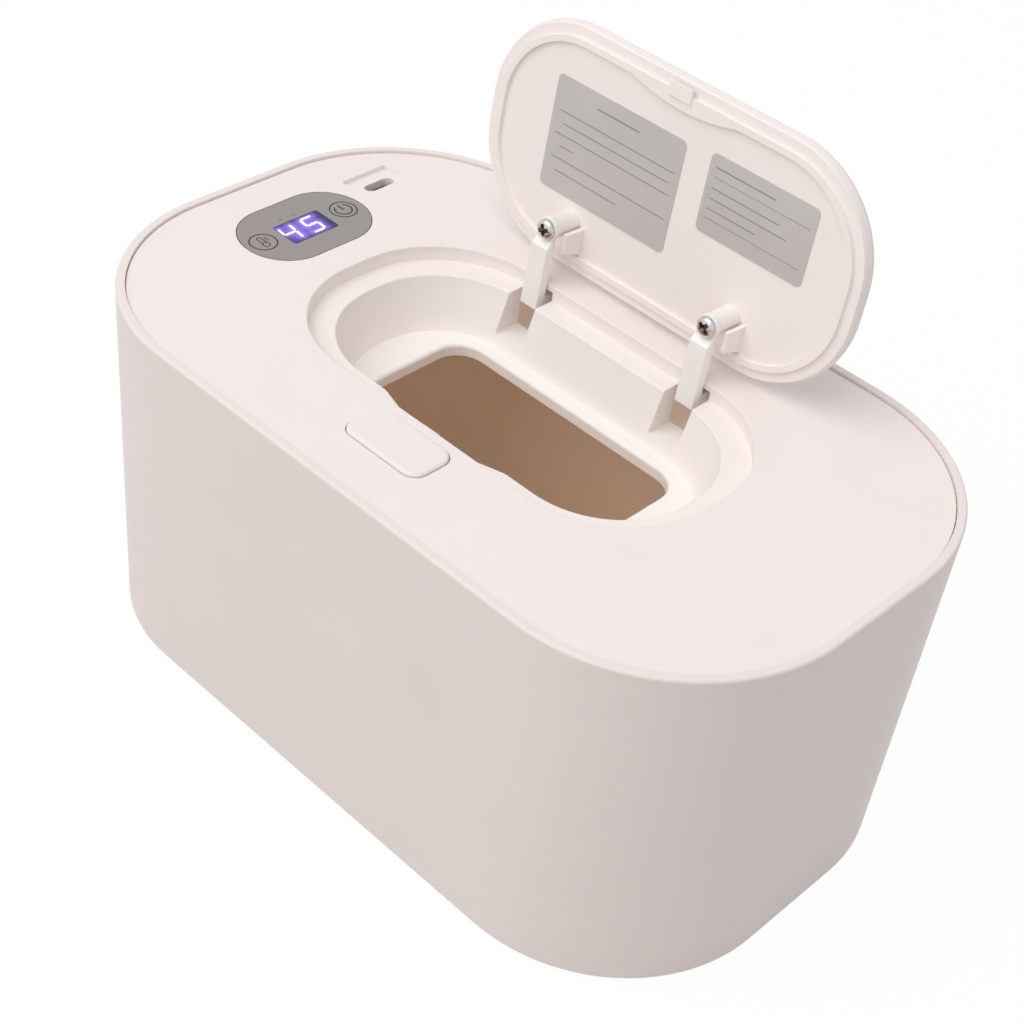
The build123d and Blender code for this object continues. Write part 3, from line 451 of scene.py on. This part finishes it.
def printed_film(name, colour):
    """Grey printed film over the touch keys, warmer at one end, with a dark line of painted shade round its edge.
    """
    finish = Finish(name, Metallic=0.35, Coat_Weight=0.15, Coat_Roughness=0.25, IOR=1.5)
    low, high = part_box("control_film")
    radius = (high.x - low.x) / 2
    straight = (high.y - low.y) / 2 - radius
    x, y, _ = finish.axes()
    aside = x - FILM.x
    beyond = finish.maths("MAXIMUM", abs(y - FILM.y) - straight, 0.0)
    away = finish.maths("SQRT", aside * aside + beyond * beyond)
    # Painted shade: a dark line round the film's edge stands in for the shadow at its thin side.
    painted_edge_shade = away > radius - FILM_EDGE_SHADE_WIDTH
    fleck = finish.noise(0.12 * MM, 2, 0.7)
    along = (y - low.y) / (high.y - low.y) + (finish.noise(14 * MM, 1) - 0.5) * 0.6
    warm = (colour[0] * 1.05, colour[1] * 0.985, colour[2], 1)
    grey = (colour[0] * 0.97, colour[1] * 1.01, colour[2] * 1.01, 1)
    face = finish.mix(along, warm, grey)
    finish.feed("Base Color", finish.mix(painted_edge_shade, face, shade(colour, 0.22)))
    finish.feed("Roughness", 0.36 + fleck * 0.12)
    finish.bump(fleck, 0.0015 * MM)
    return finish.material


def label_stock(name, colour):
    """Matte silver-grey polyester label."""
    finish = Finish(name, Metallic=0.25, IOR=1.5)
    fibre = finish.noise(0.18 * MM, 3, 0.6)
    cast = finish.noise(24 * MM, 1)
    finish.feed("Base Color", finish.mix(cast, shade(colour, 0.93), shade(colour, 1.07)))
    finish.feed("Roughness", 0.42 + fibre * 0.14)
    finish.bump(fibre, 0.002 * MM)
    return finish.material


def ink(name, colour):
    """Screen-printed ink, slightly uneven."""
    finish = Finish(name, IOR=1.45, Specular_IOR_Level=0.25)
    speck = finish.noise(0.10 * MM, 2)
    finish.feed("Base Color", finish.mix(speck, shade(colour, 0.8), shade(colour, 1.6)))
    finish.feed("Roughness", 0.45 + speck * 0.15)
    return finish.material


def bar_halo(finish, u, v, first, last):
    """How near a point is to a lit bar: one on its middle line, nought beyond the halo's reach."""
    way = last - first
    right, up = way.x / way.length_squared, way.y / way.length_squared
    share = (u - first.x) * right + (v - first.y) * up
    share = finish.maths("ADD", share, 0.0, clamp=True)
    aside = u - first.x - share * way.x
    above = v - first.y - share * way.y
    away = finish.maths("SQRT", aside * aside + above * above)
    return finish.maths("SUBTRACT", 1.0, away / HALO_REACH, clamp=True)


def display_window(name, glow):
    """Tinted window lit from behind: palest round the lit bars, dark at its corners."""
    finish = Finish(name, IOR=1.5, Specular_IOR_Level=0.3, Emission_Strength=1.0)
    low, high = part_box("display_lens")
    x, y, _ = finish.axes()
    u, v = y - LENS.y, LENS.x - x
    halo = 0.0
    for first, last in lit_bars():
        halo = finish.maths("MAXIMUM", halo, bar_halo(finish, u, v, first, last))
    across = (1 - abs(v) / ((high.x - low.x) / 2)) * 2.4
    along = (1 - abs(u - FIGURE_SHIFT * 0.6) / ((high.y - low.y) / 2)) * 2.2
    spread = finish.maths("MINIMUM", across, along, clamp=True)
    spread = spread * (0.8 + finish.noise(2.5 * MM, 2) * 0.4)
    deep = finish.mix(spread, shade(glow, 0.14), (*glow, 1))
    pale = (glow[0] + 0.20, glow[1] + 0.15, min(1.0, glow[2] + 0.34), 1)
    finish.feed("Emission Color", finish.mix(halo * (0.35 + spread * 0.65), deep, pale))
    finish.feed("Base Color", finish.mix(spread, (0.012, 0.008, 0.03, 1), (0.05, 0.03, 0.16, 1)))
    finish.feed("Roughness", 0.12 + spread * 0.05)
    return finish.material


def lit_bar(name):
    """White-violet light of a display figure."""
    finish = Finish(name, Emission_Strength=1.0)
    flicker = finish.noise(0.8 * MM, 1)
    finish.feed("Emission Color", finish.mix(flicker, (0.90, 0.86, 1.0, 1), (1.0, 1.0, 1.0, 1)))
    finish.feed("Base Color", finish.mix(flicker, (0.8, 0.78, 0.9, 1), (0.9, 0.9, 0.95, 1)))
    finish.feed("Roughness", 0.4 + flicker * 0.05)
    return finish.material


def rubber(name, colour, roughness=0.75):
    """Soft rubber or silicone with a dry, slightly dusty surface."""
    finish = Finish(name, IOR=1.45)
    dust = finish.noise(1.2 * MM, 4, 0.6)
    finish.feed("Base Color", finish.mix(dust, shade(colour, 0.85), shade(colour, 1.25)))
    finish.feed("Roughness", roughness - 0.08 + dust * 0.16)
    finish.bump(dust, 0.01 * MM)
    return finish.material


def circuit_board(name):
    """Green solder mask over fine copper tracks."""
    finish = Finish(name, IOR=1.5, Coat_Weight=0.3, Coat_Roughness=0.2)
    x, y, _ = finish.axes()
    track = finish.maths("PINGPONG", x + y * 0.5, TRACK_STEP) / TRACK_STEP
    values = {"Vector": finish.place(), "Scale": 1 / PAD_PITCH}
    pad = finish.node("ShaderNodeTexVoronoi", values=values)
    lines = (track < 0.22) * 0.5 + (pad < 0.22) * 0.5
    finish.feed("Base Color", finish.mix(lines, (0.01, 0.07, 0.03, 1), (0.05, 0.22, 0.10, 1)))
    finish.feed("Roughness", 0.35 + lines * 0.1)
    finish.bump(lines, 0.03 * MM)
    return finish.material


def heater_foil(name):
    """Amber polyimide film with a serpentine heating track."""
    finish = Finish(name, IOR=1.6, Coat_Weight=0.4, Coat_Roughness=0.1)
    y = finish.axes()[1]
    track = finish.maths("PINGPONG", y, HEATER_PITCH) / HEATER_PITCH < 0.45
    finish.feed("Base Color", finish.mix(track, (0.42, 0.16, 0.02, 1), (0.16, 0.06, 0.015, 1)))
    finish.feed("Roughness", 0.25 + track * 0.15)
    finish.bump(track, 0.03 * MM)
    return finish.material


def make_finishes():
    """All the finishes by name."""
    tint = colours()
    return {
        "shell": moulded("satin_shell", tint.shell, 0.46),
        "cover": moulded("satin_cover", tint.cover, 0.44),
        "basin": moulded("satin_cover_basin_painted_light", tint.cover, 0.44, below=tint.basin),
        "lid_inner": moulded("satin_lid_inside", tint.lid_inner, 0.42),
        # Painted shade and light: the liner's tan tint for the shade in the tub, and its glow.
        "liner": moulded("tan_liner_painted_shade_and_glow", tint.liner, 0.40, 0.05, through=(0.060, 0.050, 0.037)),
        # Painted light: the tray glows faintly in a warm tint.
        "tray": moulded("cream_tray_painted_glow", tint.tray, 0.42, 0.04, through=(0.16, 0.13, 0.11)),
        "latch": moulded("acetal_latch", (0.62, 0.58, 0.52), 0.35),
        "arm": nylon("cloudy_nylon", tint.arm),
        "key_film": printed_film("grey_key_film", tint.film),
        "label": label_stock("silver_label", tint.label),
        "ink": ink("dark_ink", tint.ink),
        "faint_ink": ink("faint_ink", (0.20, 0.185, 0.175)),
        "lamp_tint": ink("lamp_tint", (0.22, 0.205, 0.15)),
        "lens": display_window("violet_window", tint.glow),
        "lit": lit_bar("lit_figure"),
        "screw_steel": metal("nickel_screw", (0.62, 0.60, 0.57), 0.24),
        "bright_screw": metal("screw_steel_bright", (0.62, 0.59, 0.56), 0.22),
        # Painted shade: the screws' steel made dark brown inside their cross recesses.
        "recess": metal("screw_recess_painted_shade", (0.17, 0.125, 0.10), 0.38),
        "spring_metal": metal("spring_wire", (0.55, 0.55, 0.55), 0.30),
        "socket_metal": metal("plated_socket", (0.075, 0.068, 0.062), 0.5),
        "heater": sheet_metal("rolled_aluminium", (0.68, 0.69, 0.70)),
        "film": heater_foil("amber_heater_film"),
        "board": circuit_board("green_board"),
        "dark_plastic": rubber("black_moulding", (0.018, 0.018, 0.02), 0.5),
        "lead": rubber("red_silicone", (0.50, 0.02, 0.015), 0.55),
        "foot": rubber("grey_rubber", (0.09, 0.09, 0.09)),
    }


# Nodes with a finish of their own within their slot.
OWN_FINISH = {"top_cover": "basin", "under_tray": "tray"}


# ---- Mesh helpers ----
def add_object(name, data):
    """Puts a mesh, a lamp or a camera into the scene."""
    item = bpy.data.objects.new(name, data)
    bpy.context.scene.collection.objects.link(item)
    return item


def add_mesh(name, mesh):
    """Turns a bmesh in the warmer's frame into an object, and frees the bmesh."""
    data = bpy.data.meshes.new(name)
    mesh.to_mesh(data)
    mesh.free()
    return add_object(name, data)


def add_solid(name, mesh):
    """Turns a closed bmesh into an object with its faces outwards."""
    bmesh.ops.recalc_face_normals(mesh, faces=mesh.faces)
    return add_mesh(name, mesh)


def piece(name, mesh, finish, body):
    """Turns a closed bmesh into a piece that rides on a body."""
    item = add_solid(name, mesh)
    item.data.materials.append(bpy.data.materials[finish])
    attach(item, body)
    return item


def smooth(data):
    """Shades every face of a mesh smooth."""
    for face in data.polygons:
        face.use_smooth = True


def circle(count, start=0.0):
    """The angles of evenly spaced points round a full circle."""
    return [start + 2 * math.pi * i / count for i in range(count)]


def skin(mesh, rings, closed=False):
    """Faces from each ring of points to the next, and from the last to the first if closed."""
    faces = []
    for near, far in zip(rings, rings[1:] + (rings[:1] if closed else [])):
        for k in range(len(near)):
            j = (k + 1) % len(near)
            faces.append(mesh.faces.new((near[k], near[j], far[j], far[k])))
    return faces


def caps(mesh, rings):
    """A face over the first ring and one over the last."""
    return [mesh.faces.new(rings[0][::-1]), mesh.faces.new(rings[-1])]


def prism(mesh, place, outline, low, high):
    """A flat shape with straight sides, from low to high above its work plane."""
    rings = [
        [mesh.verts.new(place @ Vector((u, v, height))) for u, v in outline]
        for height in (low, high)
    ]
    skin(mesh, rings)
    caps(mesh, rings)


def bar(mesh, place, u0, u1, v0, v1, low, high):
    """A straight printed bar."""
    prism(mesh, place, [(u0, v0), (u1, v0), (u1, v1), (u0, v1)], low, high)


def arc_band(mesh, place, centre, outer, inner, low, high, start=0.0, end=2 * math.pi, steps=72):
    """A band along an arc, or a full ring where the arc goes all the way round."""
    closed = end - start >= 2 * math.pi
    rows = []
    for i in range(steps if closed else steps + 1):
        angle = start + (end - start) * i / steps
        across, up = math.cos(angle), math.sin(angle)
        rows.append([
            mesh.verts.new(place @ Vector((centre[0] + across * r, centre[1] + up * r, height)))
            for r, height in ((outer, low), (outer, high), (inner, high), (inner, low))
        ])
    skin(mesh, rows, closed)
    if not closed:
        caps(mesh, rows)


def soften(item, width):
    """Rounds an object's sharp edges by modifiers alone."""
    weld = item.modifiers.new("weld", "WELD")
    weld.merge_threshold = 0.001 * MM
    bevel = item.modifiers.new("bevel", "BEVEL")
    bevel.width = width
    bevel.segments = 3
    bevel.limit_method = "ANGLE"
    bevel.angle_limit = math.radians(35)
    bevel.use_clamp_overlap = True
    even = item.modifiers.new("even_shading", "WEIGHTED_NORMAL")
    even.mode = "FACE_AREA"
    even.weight = 100


# ---- Operators ----
class WARMER_OT_finishes(bpy.types.Operator):
    """Make every finish and put it on the CAD nodes"""

    bl_idname = "warmer.finishes"
    bl_label = "Finishes"

    def execute(self, context):
        made = make_finishes()
        slots = {part["node"]: part["material_slot"] for part in frame["record"]["subparts"]}
        for name, node in NODES.items():
            node.data.materials.clear()
            node.data.materials.append(made[OWN_FINISH.get(name, slots[name])])
        return {"FINISHED"}


class WARMER_OT_soft_edges(bpy.types.Operator):
    """Soften the moulded edges of the cover, lid and button"""

    bl_idname = "warmer.soft_edges"
    bl_label = "Soft edges"

    def execute(self, context):
        for name in ("top_cover", "lid_inner"):
            soften(NODES[name], sizes().wide_round)
        for name in ("hinge_arm_left", "hinge_arm_right", "latch_button"):
            soften(NODES[name], sizes().edge_round)
        return {"FINISHED"}


class WARMER_OT_arm_screws(bpy.types.Operator):
    """Turn the domed heads of the two arm screws and cut their cross recesses"""

    bl_idname = "warmer.arm_screws"
    bl_label = "Arm screws"

    STEPS = 48
    DOME_STEPS = 12
    DOME_FULLNESS = 0.9       # below one, the dome is fuller than a plain ellipse
    EDGE = 0.35 * MM          # short upright edge under the dome
    EDGE_ROUND = 0.07 * MM
    SHANK = 0.53              # shares of the head's radius
    UNDERSIDE = 0.96
    CROSS_WIDTH = 0.31        # half width of a recess arm as a share of its reach
    CROSS_ROUND = 1.45
    CROSS_DEPTH = 1.15 * MM
    CROSS_OVER = 0.4 * MM
    TURNS = (0.35, 0.95)      # how far the left and right crosses are turned
    NEAR = 0.02 * MM          # points this close to a head's side are on its widest ring

    def screws(self):
        """Each screw's plane under the head, the head's radius and the shank's end."""
        points = [vertex.co for vertex in NODES["arm_screws"].data.vertices]
        middle = centre_of("arm_screws").x
        found = []
        for side in (-1, 1):
            half = [point for point in points if (point.x - middle) * side > 0]
            xs = [point.x for point in half]
            ups = [point.dot(LID_UP) for point in half]
            outs = [point.dot(LID_OUT) for point in half]
            left, right = min(xs), max(xs)
            under = min(out for x, out in zip(xs, outs) if abs(x - left) < self.NEAR)
            axis = Vector(((right + left) / 2, 0, 0)) + LID_UP * (max(ups) + min(ups)) / 2
            place = seat(axis + LID_OUT * under, (1, 0, 0), LID_UP)
            found.append((place, (right - left) / 2, min(outs) - under))
        return found

    def head(self, mesh, place, radius, shank_end):
        """Shank, flat under the head, short edge and dome, as one closed turned shape."""
        dome = sizes().screw_height - self.EDGE
        shank = radius * self.SHANK
        profile = [(shank, shank_end), (shank, 0.0), (radius * self.UNDERSIDE, 0.0)]
        profile.append((radius, 0.05 * MM))
        for i in range(self.DOME_STEPS):
            angle = math.pi / 2 * i / self.DOME_STEPS
            across = math.cos(angle) ** self.DOME_FULLNESS
            up = math.sin(angle) ** self.DOME_FULLNESS
            profile.append((radius * across, self.EDGE + dome * up))
        rings = [
            [
                mesh.verts.new(place @ Vector((r * math.cos(a), r * math.sin(a), h)))
                for a in circle(self.STEPS)
            ]
            for r, h in profile
        ]
        skin(mesh, rings)
        mesh.faces.new(rings[0][::-1])
        top = mesh.verts.new(place @ Vector((0, 0, sizes().screw_height)))
        last = rings[-1]
        for near, far in zip(last, last[1:] + last[:1]):
            mesh.faces.new((near, far, top))

    def recess(self, mesh, place, turn):
        """The tapered cross that is cut out of a head."""
        height, reach = sizes().screw_height, sizes().screw_cross
        rings = []
        for level, size in ((height + self.CROSS_OVER, 1.14), (height - self.CROSS_DEPTH, 0.52)):
            tip, wide = reach * size, reach * self.CROSS_WIDTH * (0.4 + 0.6 * size)
            inner = wide * self.CROSS_ROUND
            quarter = ((tip, -wide), (tip, wide), (inner, wide), (wide, inner))
            rings.append([
                mesh.verts.new(place @ Vector((
                    u * math.cos(a) - v * math.sin(a), u * math.sin(a) + v * math.cos(a), level,
                )))
                for a in circle(4, turn) for u, v in quarter
            ])
        # The cutter's faces become the recess walls, in the second, dark finish of painted shade.
        for face in skin(mesh, rings) + caps(mesh, rings):
            face.material_index = 1

    def execute(self, context):
        heads, crosses = bmesh.new(), bmesh.new()
        for turn, (place, radius, shank_end) in zip(self.TURNS, self.screws()):
            self.head(heads, place, radius, shank_end)
            self.recess(crosses, place, turn)
        item = piece("arm_screw_heads", heads, "screw_steel_bright", "lid")
        item.data.materials.append(bpy.data.materials["screw_recess_painted_shade"])
        cutter = add_solid("cross_cutter", crosses)
        cut = item.modifiers.new("cut", "BOOLEAN")
        cut.operation = "DIFFERENCE"
        cut.solver = "EXACT"
        cut.object = cutter
        shaped = item.evaluated_get(context.evaluated_depsgraph_get())
        result = bpy.data.meshes.new_from_object(shaped)
        item.modifiers.clear()
        item.data = result
        bpy.data.objects.remove(cutter)
        if not any(face.material_index == 1 for face in result.polygons):
            raise RuntimeError("the cross recesses weren't cut")
        smooth(result)
        soften(item, self.EDGE_ROUND)
        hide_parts("arm_screws")
        return {"FINISHED"}


class WARMER_OT_button_springs(bpy.types.Operator):
    """Wind the two return springs under the button"""

    bl_idname = "warmer.button_springs"
    bl_label = "Button springs"

    WIRE = 0.30 * MM          # radius of the wire
    PITCH = 3.0 * MM
    STEPS_PER_TURN = 32
    SECTION = 10

    def coil(self, mesh, low, high):
        """A round wire wound up the box's middle, closed at both ends."""
        radius = (high.x - low.x) / 2 - self.WIRE
        foot = Vector(((low.x + high.x) / 2, (low.y + high.y) / 2, low.z + self.WIRE))
        rise = high.z - low.z - 2 * self.WIRE
        turns = rise / self.PITCH
        count = round(turns * self.STEPS_PER_TURN)
        rings = []
        for i in range(count + 1):
            angle = 2 * math.pi * turns * i / count
            out = Vector((math.cos(angle), math.sin(angle), 0))
            way = Vector((-out.y, out.x, self.PITCH / (2 * math.pi * radius))).normalized()
            over = way.cross(out)
            centre = foot + out * radius + Vector((0, 0, rise * i / count))
            rings.append([
                mesh.verts.new(centre + (out * math.cos(b) + over * math.sin(b)) * self.WIRE)
                for b in circle(self.SECTION)
            ])
        skin(mesh, rings)
        caps(mesh, rings)

    def execute(self, context):
        for side in ("left", "right"):
            low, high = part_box("button_spring_" + side)
            mesh = bmesh.new()
            self.coil(mesh, low, high)
            item = piece("return_coil_" + side, mesh, "spring_wire", "cover")
            smooth(item.data)
            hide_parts("button_spring_" + side)
            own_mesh(item)
        return {"FINISHED"}


class WARMER_OT_display(bpy.types.Operator):
    """Light the two figures of the display"""

    bl_idname = "warmer.display"
    bl_label = "Display figures"

    GAP = 0.13 * MM           # gap at each end of a bar
    SUNK = 0.1 * MM

    def execute(self, context):
        mesh = bmesh.new()
        half = sizes().digit_stroke / 2
        for first, last in lit_bars():
            along = (last - first).normalized()
            side = Vector((-along.y, along.x)) * half
            first, last = first + along * self.GAP, last - along * self.GAP
            outline = [
                first, first + along * half + side, last - along * half + side,
                last, last - along * half - side, first + along * half - side,
            ]
            prism(mesh, DISPLAY, outline, -self.SUNK, sizes().print_height)
        piece("display_figures", mesh, "lit_figure", "cover")
        return {"FINISHED"}


class WARMER_OT_key_marks(bpy.types.Operator):
    """Print the rings and symbols of the two touch keys and the two small lamps"""

    bl_idname = "warmer.key_marks"
    bl_label = "Key marks"

    # Middles on the display's plane, which has its origin at the middle of the window.
    POWER = (13.27 * MM, 0.57 * MM)
    HEAT = (-13.23 * MM, 0.87 * MM)
    LAMPS = ((-2.98 * MM, 6.39 * MM), (1.19 * MM, 6.22 * MM))
    LAMP_RADIUS = 0.55 * MM
    GAP = math.radians(33)    # half of the gap in the power sign's circle

    def power(self, mesh, low, high):
        """An open circle with a bar through its gap, inside a ring."""
        outer, line = sizes().ring_radius, sizes().ring_line
        u, v = self.POWER
        arc_band(mesh, DISPLAY, self.POWER, outer, outer - line, low, high)
        inner = outer * 0.66
        start, end = math.pi / 2 + self.GAP, 5 * math.pi / 2 - self.GAP
        arc_band(mesh, DISPLAY, self.POWER, inner, inner - line * 1.15, low, high, start, end)
        half, foot, top = line * 0.55, v - outer * 0.04, v + outer * 0.63
        bar(mesh, DISPLAY, u - half, u + half, foot, top, low, high)

    def heat(self, mesh, low, high):
        """A small thermometer with its scale, inside a ring."""
        outer, line = sizes().ring_radius, sizes().ring_line
        u, v = self.HEAT
        arc_band(mesh, DISPLAY, self.HEAT, outer, outer - line, low, high)
        stem, bulb, top = outer * 0.16, outer * 0.28, v + outer * 0.44
        arc_band(mesh, DISPLAY, (u, v - outer * 0.34), bulb, bulb - line * 0.8, low, high)
        half = line * 0.4
        for side in (u - stem, u + stem):
            bar(mesh, DISPLAY, side - half, side + half, v - outer * 0.12, top, low, high)
        arc_band(mesh, DISPLAY, (u, top), stem + half, stem - half, low, high, 0, math.pi, 24)
        half = line * 0.35
        for step in range(3):
            mark = v + outer * (0.02 + 0.19 * step)
            bar(mesh, DISPLAY, u + stem * 2.0, u + stem * 3.3, mark - half, mark + half, low, high)

    def execute(self, context):
        low, high = -PRINT_SUNK, sizes().print_height
        mesh = bmesh.new()
        self.power(mesh, low, high)
        self.heat(mesh, low, high)
        piece("key_marks", mesh, "dark_ink", "cover")
        lamps = bmesh.new()
        for u, v in self.LAMPS:
            outline = [
                (u + self.LAMP_RADIUS * math.cos(a), v + self.LAMP_RADIUS * math.sin(a))
                for a in circle(24)
            ]
            prism(lamps, DISPLAY, outline, low, high)
        piece("key_lamps", lamps, "lamp_tint", "cover")
        return {"FINISHED"}


class WARMER_OT_label_rules(bpy.types.Operator):
    """Print plain ruled lines on the two blank labels in the lid"""

    bl_idname = "warmer.label_rules"
    bl_label = "Label rules"

    THICK, MEDIUM, PLAIN, FINE = 0.30 * MM, 0.26 * MM, 0.20 * MM, 0.12 * MM
    # Each rule: its share of the label's height from the top, where it starts and ends as shares
    # of the width, and its thickness.
    LARGE = (
        (0.13, 0.33, 0.66, THICK), (0.30, 0.05, 0.96, PLAIN), (0.40, 0.10, 0.93, PLAIN),
        (0.50, 0.05, 0.95, PLAIN), (0.60, 0.10, 0.21, PLAIN), (0.71, 0.05, 0.96, PLAIN),
        (0.82, 0.10, 0.60, PLAIN),
    )
    SMALL = (
        (0.16, 0.06, 0.62, MEDIUM), (0.28, 0.06, 0.95, FINE), (0.42, 0.06, 0.70, PLAIN),
        (0.55, 0.06, 0.78, PLAIN), (0.68, 0.06, 0.52, PLAIN), (0.80, 0.06, 0.95, FINE),
    )

    def rules(self, name, node, rows):
        """Plain lines across a label."""
        place, width, height = on_lid(node)
        mesh = bmesh.new()
        for row, start, end, line in rows:
            left, right = (start - 0.5) * width, (end - 0.5) * width
            v, half = (0.5 - row) * height, line / 2
            bar(mesh, place, left, right, v - half, v + half, -PRINT_SUNK, sizes().print_height)
        piece(name, mesh, "faint_ink", "lid")

    def execute(self, context):
        self.rules("label_large_rules", "label_large", self.LARGE)
        self.rules("label_small_rules", "label_small", self.SMALL)
        return {"FINISHED"}


class WARMER_OT_stage(bpy.types.Operator):
    """Set the floor, soft lamps, world and camera"""

    bl_idname = "warmer.stage"
    bl_label = "Stage"

    # Camera: bearing and height of the view line, roll about it, and its distance from the middle
    # of the rim, with the small shifts that frame the view.
    AZIMUTH = math.radians(39.48)
    ELEVATION = math.radians(39.82)
    ROLL = math.radians(7.78)
    DISTANCE = 464.5 * MM
    SHIFT_RIGHT = -3.54 * MM
    SHIFT_UP = -32.80 * MM
    LENS_MM = 69.73
    SENSOR_MM = 36
    CLIP = (0.01, 20)

    # Each lamp: its place, the side of its square and its power in watts.
    LAMPS = {
        "key": ((-0.22, -0.75, 1.30), 1.4, 12.3),
        "back": ((0.1, 1.1, 1.1), 0.8, 1.2),
    }
    LAMP_AIM = Vector((0, 0, 0.06))
    WORLD_LIGHT = 0.55        # the world's strength on the warmer; the backdrop that shows is 1
    FLOOR_HALF = 3.0
    FLOOR_PAINT = (0.62, 0.61, 0.60, 1)
    FLOOR_WHITE = 1.03        # strength of the floor's own white
    FLOOR_SHARE = 0.93        # how much of it shows; the rest is paint, which keeps the shadow

    def camera(self):
        """The camera, placed from its bearing, height and roll."""
        a, e, r = self.AZIMUTH, self.ELEVATION, self.ROLL
        back = Vector((math.sin(a) * math.cos(e), -math.cos(a) * math.cos(e), math.sin(e)))
        level = Vector((math.cos(a), math.sin(a), 0))
        upright = back.cross(level)
        right = level * math.cos(r) + upright * math.sin(r)
        up = upright * math.cos(r) - level * math.sin(r)
        spot = Vector((0, 0, RIM_TOP)) + back * self.DISTANCE
        spot += right * self.SHIFT_RIGHT + up * self.SHIFT_UP
        data = bpy.data.cameras.new("camera")
        data.lens = self.LENS_MM
        data.sensor_width = self.SENSOR_MM
        data.clip_start, data.clip_end = self.CLIP
        item = add_object("camera", data)
        item.matrix_world = Matrix((right, up, back)).transposed().to_4x4()
        item.location = spot
        bpy.context.scene.camera = item

    def lamp(self, name, spot, size, power):
        """A square soft box that faces the warmer."""
        data = bpy.data.lights.new(name, "AREA")
        data.shape = "SQUARE"
        data.size = size
        data.energy = power
        item = add_object(name, data)
        item.location = spot
        item.rotation_mode = "QUATERNION"
        item.rotation_quaternion = (self.LAMP_AIM - item.location).to_track_quat("-Z", "Y")

    def world(self):
        """Even light from all round, white where the backdrop shows."""
        world = bpy.data.worlds.new("studio")
        world.use_nodes = True
        nodes = Nodes(world.node_tree)
        background = world.node_tree.nodes["Background"]
        strength = self.WORLD_LIGHT + nodes.backdrop_rays() * (1 - self.WORLD_LIGHT)
        nodes.connect((1, 1, 1, 1), background.inputs["Color"])
        nodes.connect(strength, background.inputs["Strength"])
        bpy.context.scene.world = world

    def floor(self):
        """A wide pale floor that keeps a faint shadow."""
        mesh = bmesh.new()
        bmesh.ops.create_grid(mesh, x_segments=4, y_segments=4, size=self.FLOOR_HALF)
        item = add_mesh("floor", mesh)
        finish = Finish("pale_floor")
        paint = finish.node("ShaderNodeBsdfDiffuse", values={"Color": self.FLOOR_PAINT})
        white = finish.node("ShaderNodeEmission", values={"Strength": self.FLOOR_WHITE})
        share = finish.backdrop_rays() * self.FLOOR_SHARE
        blend = finish.node("ShaderNodeMixShader", values={"Fac": share, 1: paint, 2: white})
        finish.connect(blend, finish.tree.nodes["Material Output"].inputs["Surface"])
        finish.tree.nodes.remove(finish.shader)
        item.data.materials.append(finish.material)

    def execute(self, context):
        context.scene.view_settings.view_transform = "Standard"
        self.camera()
        self.world()
        self.floor()
        for name, (spot, size, power) in self.LAMPS.items():
            self.lamp(name, spot, size, power)
        return {"FINISHED"}


class WARMER_PT_panel(bpy.types.Panel):
    """Lists the steps that dress the warmer"""

    bl_idname = "WARMER_PT_panel"
    bl_label = "Wipe warmer"
    bl_space_type = "VIEW_3D"
    bl_region_type = "UI"
    bl_category = "Wipe warmer"

    def draw(self, context):
        """One button for each step."""
        column = self.layout.column()
        for operator in OPERATORS:
            column.operator(operator.bl_idname)


OPERATORS = (
    WARMER_OT_finishes,
    WARMER_OT_soft_edges,
    WARMER_OT_arm_screws,
    WARMER_OT_button_springs,
    WARMER_OT_display,
    WARMER_OT_key_marks,
    WARMER_OT_label_rules,
    WARMER_OT_stage,
)
CLASSES = (WarmerColours, WarmerSizes, *OPERATORS, WARMER_PT_panel)


def register():
    """Adds the warmer's settings, steps and panel to Blender."""
    for item in CLASSES:
        bpy.utils.register_class(item)
    bpy.types.Scene.warmer_colours = bpy.props.PointerProperty(type=WarmerColours)
    bpy.types.Scene.warmer_sizes = bpy.props.PointerProperty(type=WarmerSizes)


def unregister():
    """Takes them out again."""
    del bpy.types.Scene.warmer_sizes
    del bpy.types.Scene.warmer_colours
    for item in reversed(CLASSES):
        bpy.utils.unregister_class(item)


def main():
    """Dresses the warmer."""
    register()
    for operator in OPERATORS:
        group, action = operator.bl_idname.split(".")
        getattr(getattr(bpy.ops, group), action)()


if __name__ == "__main__":
    main()
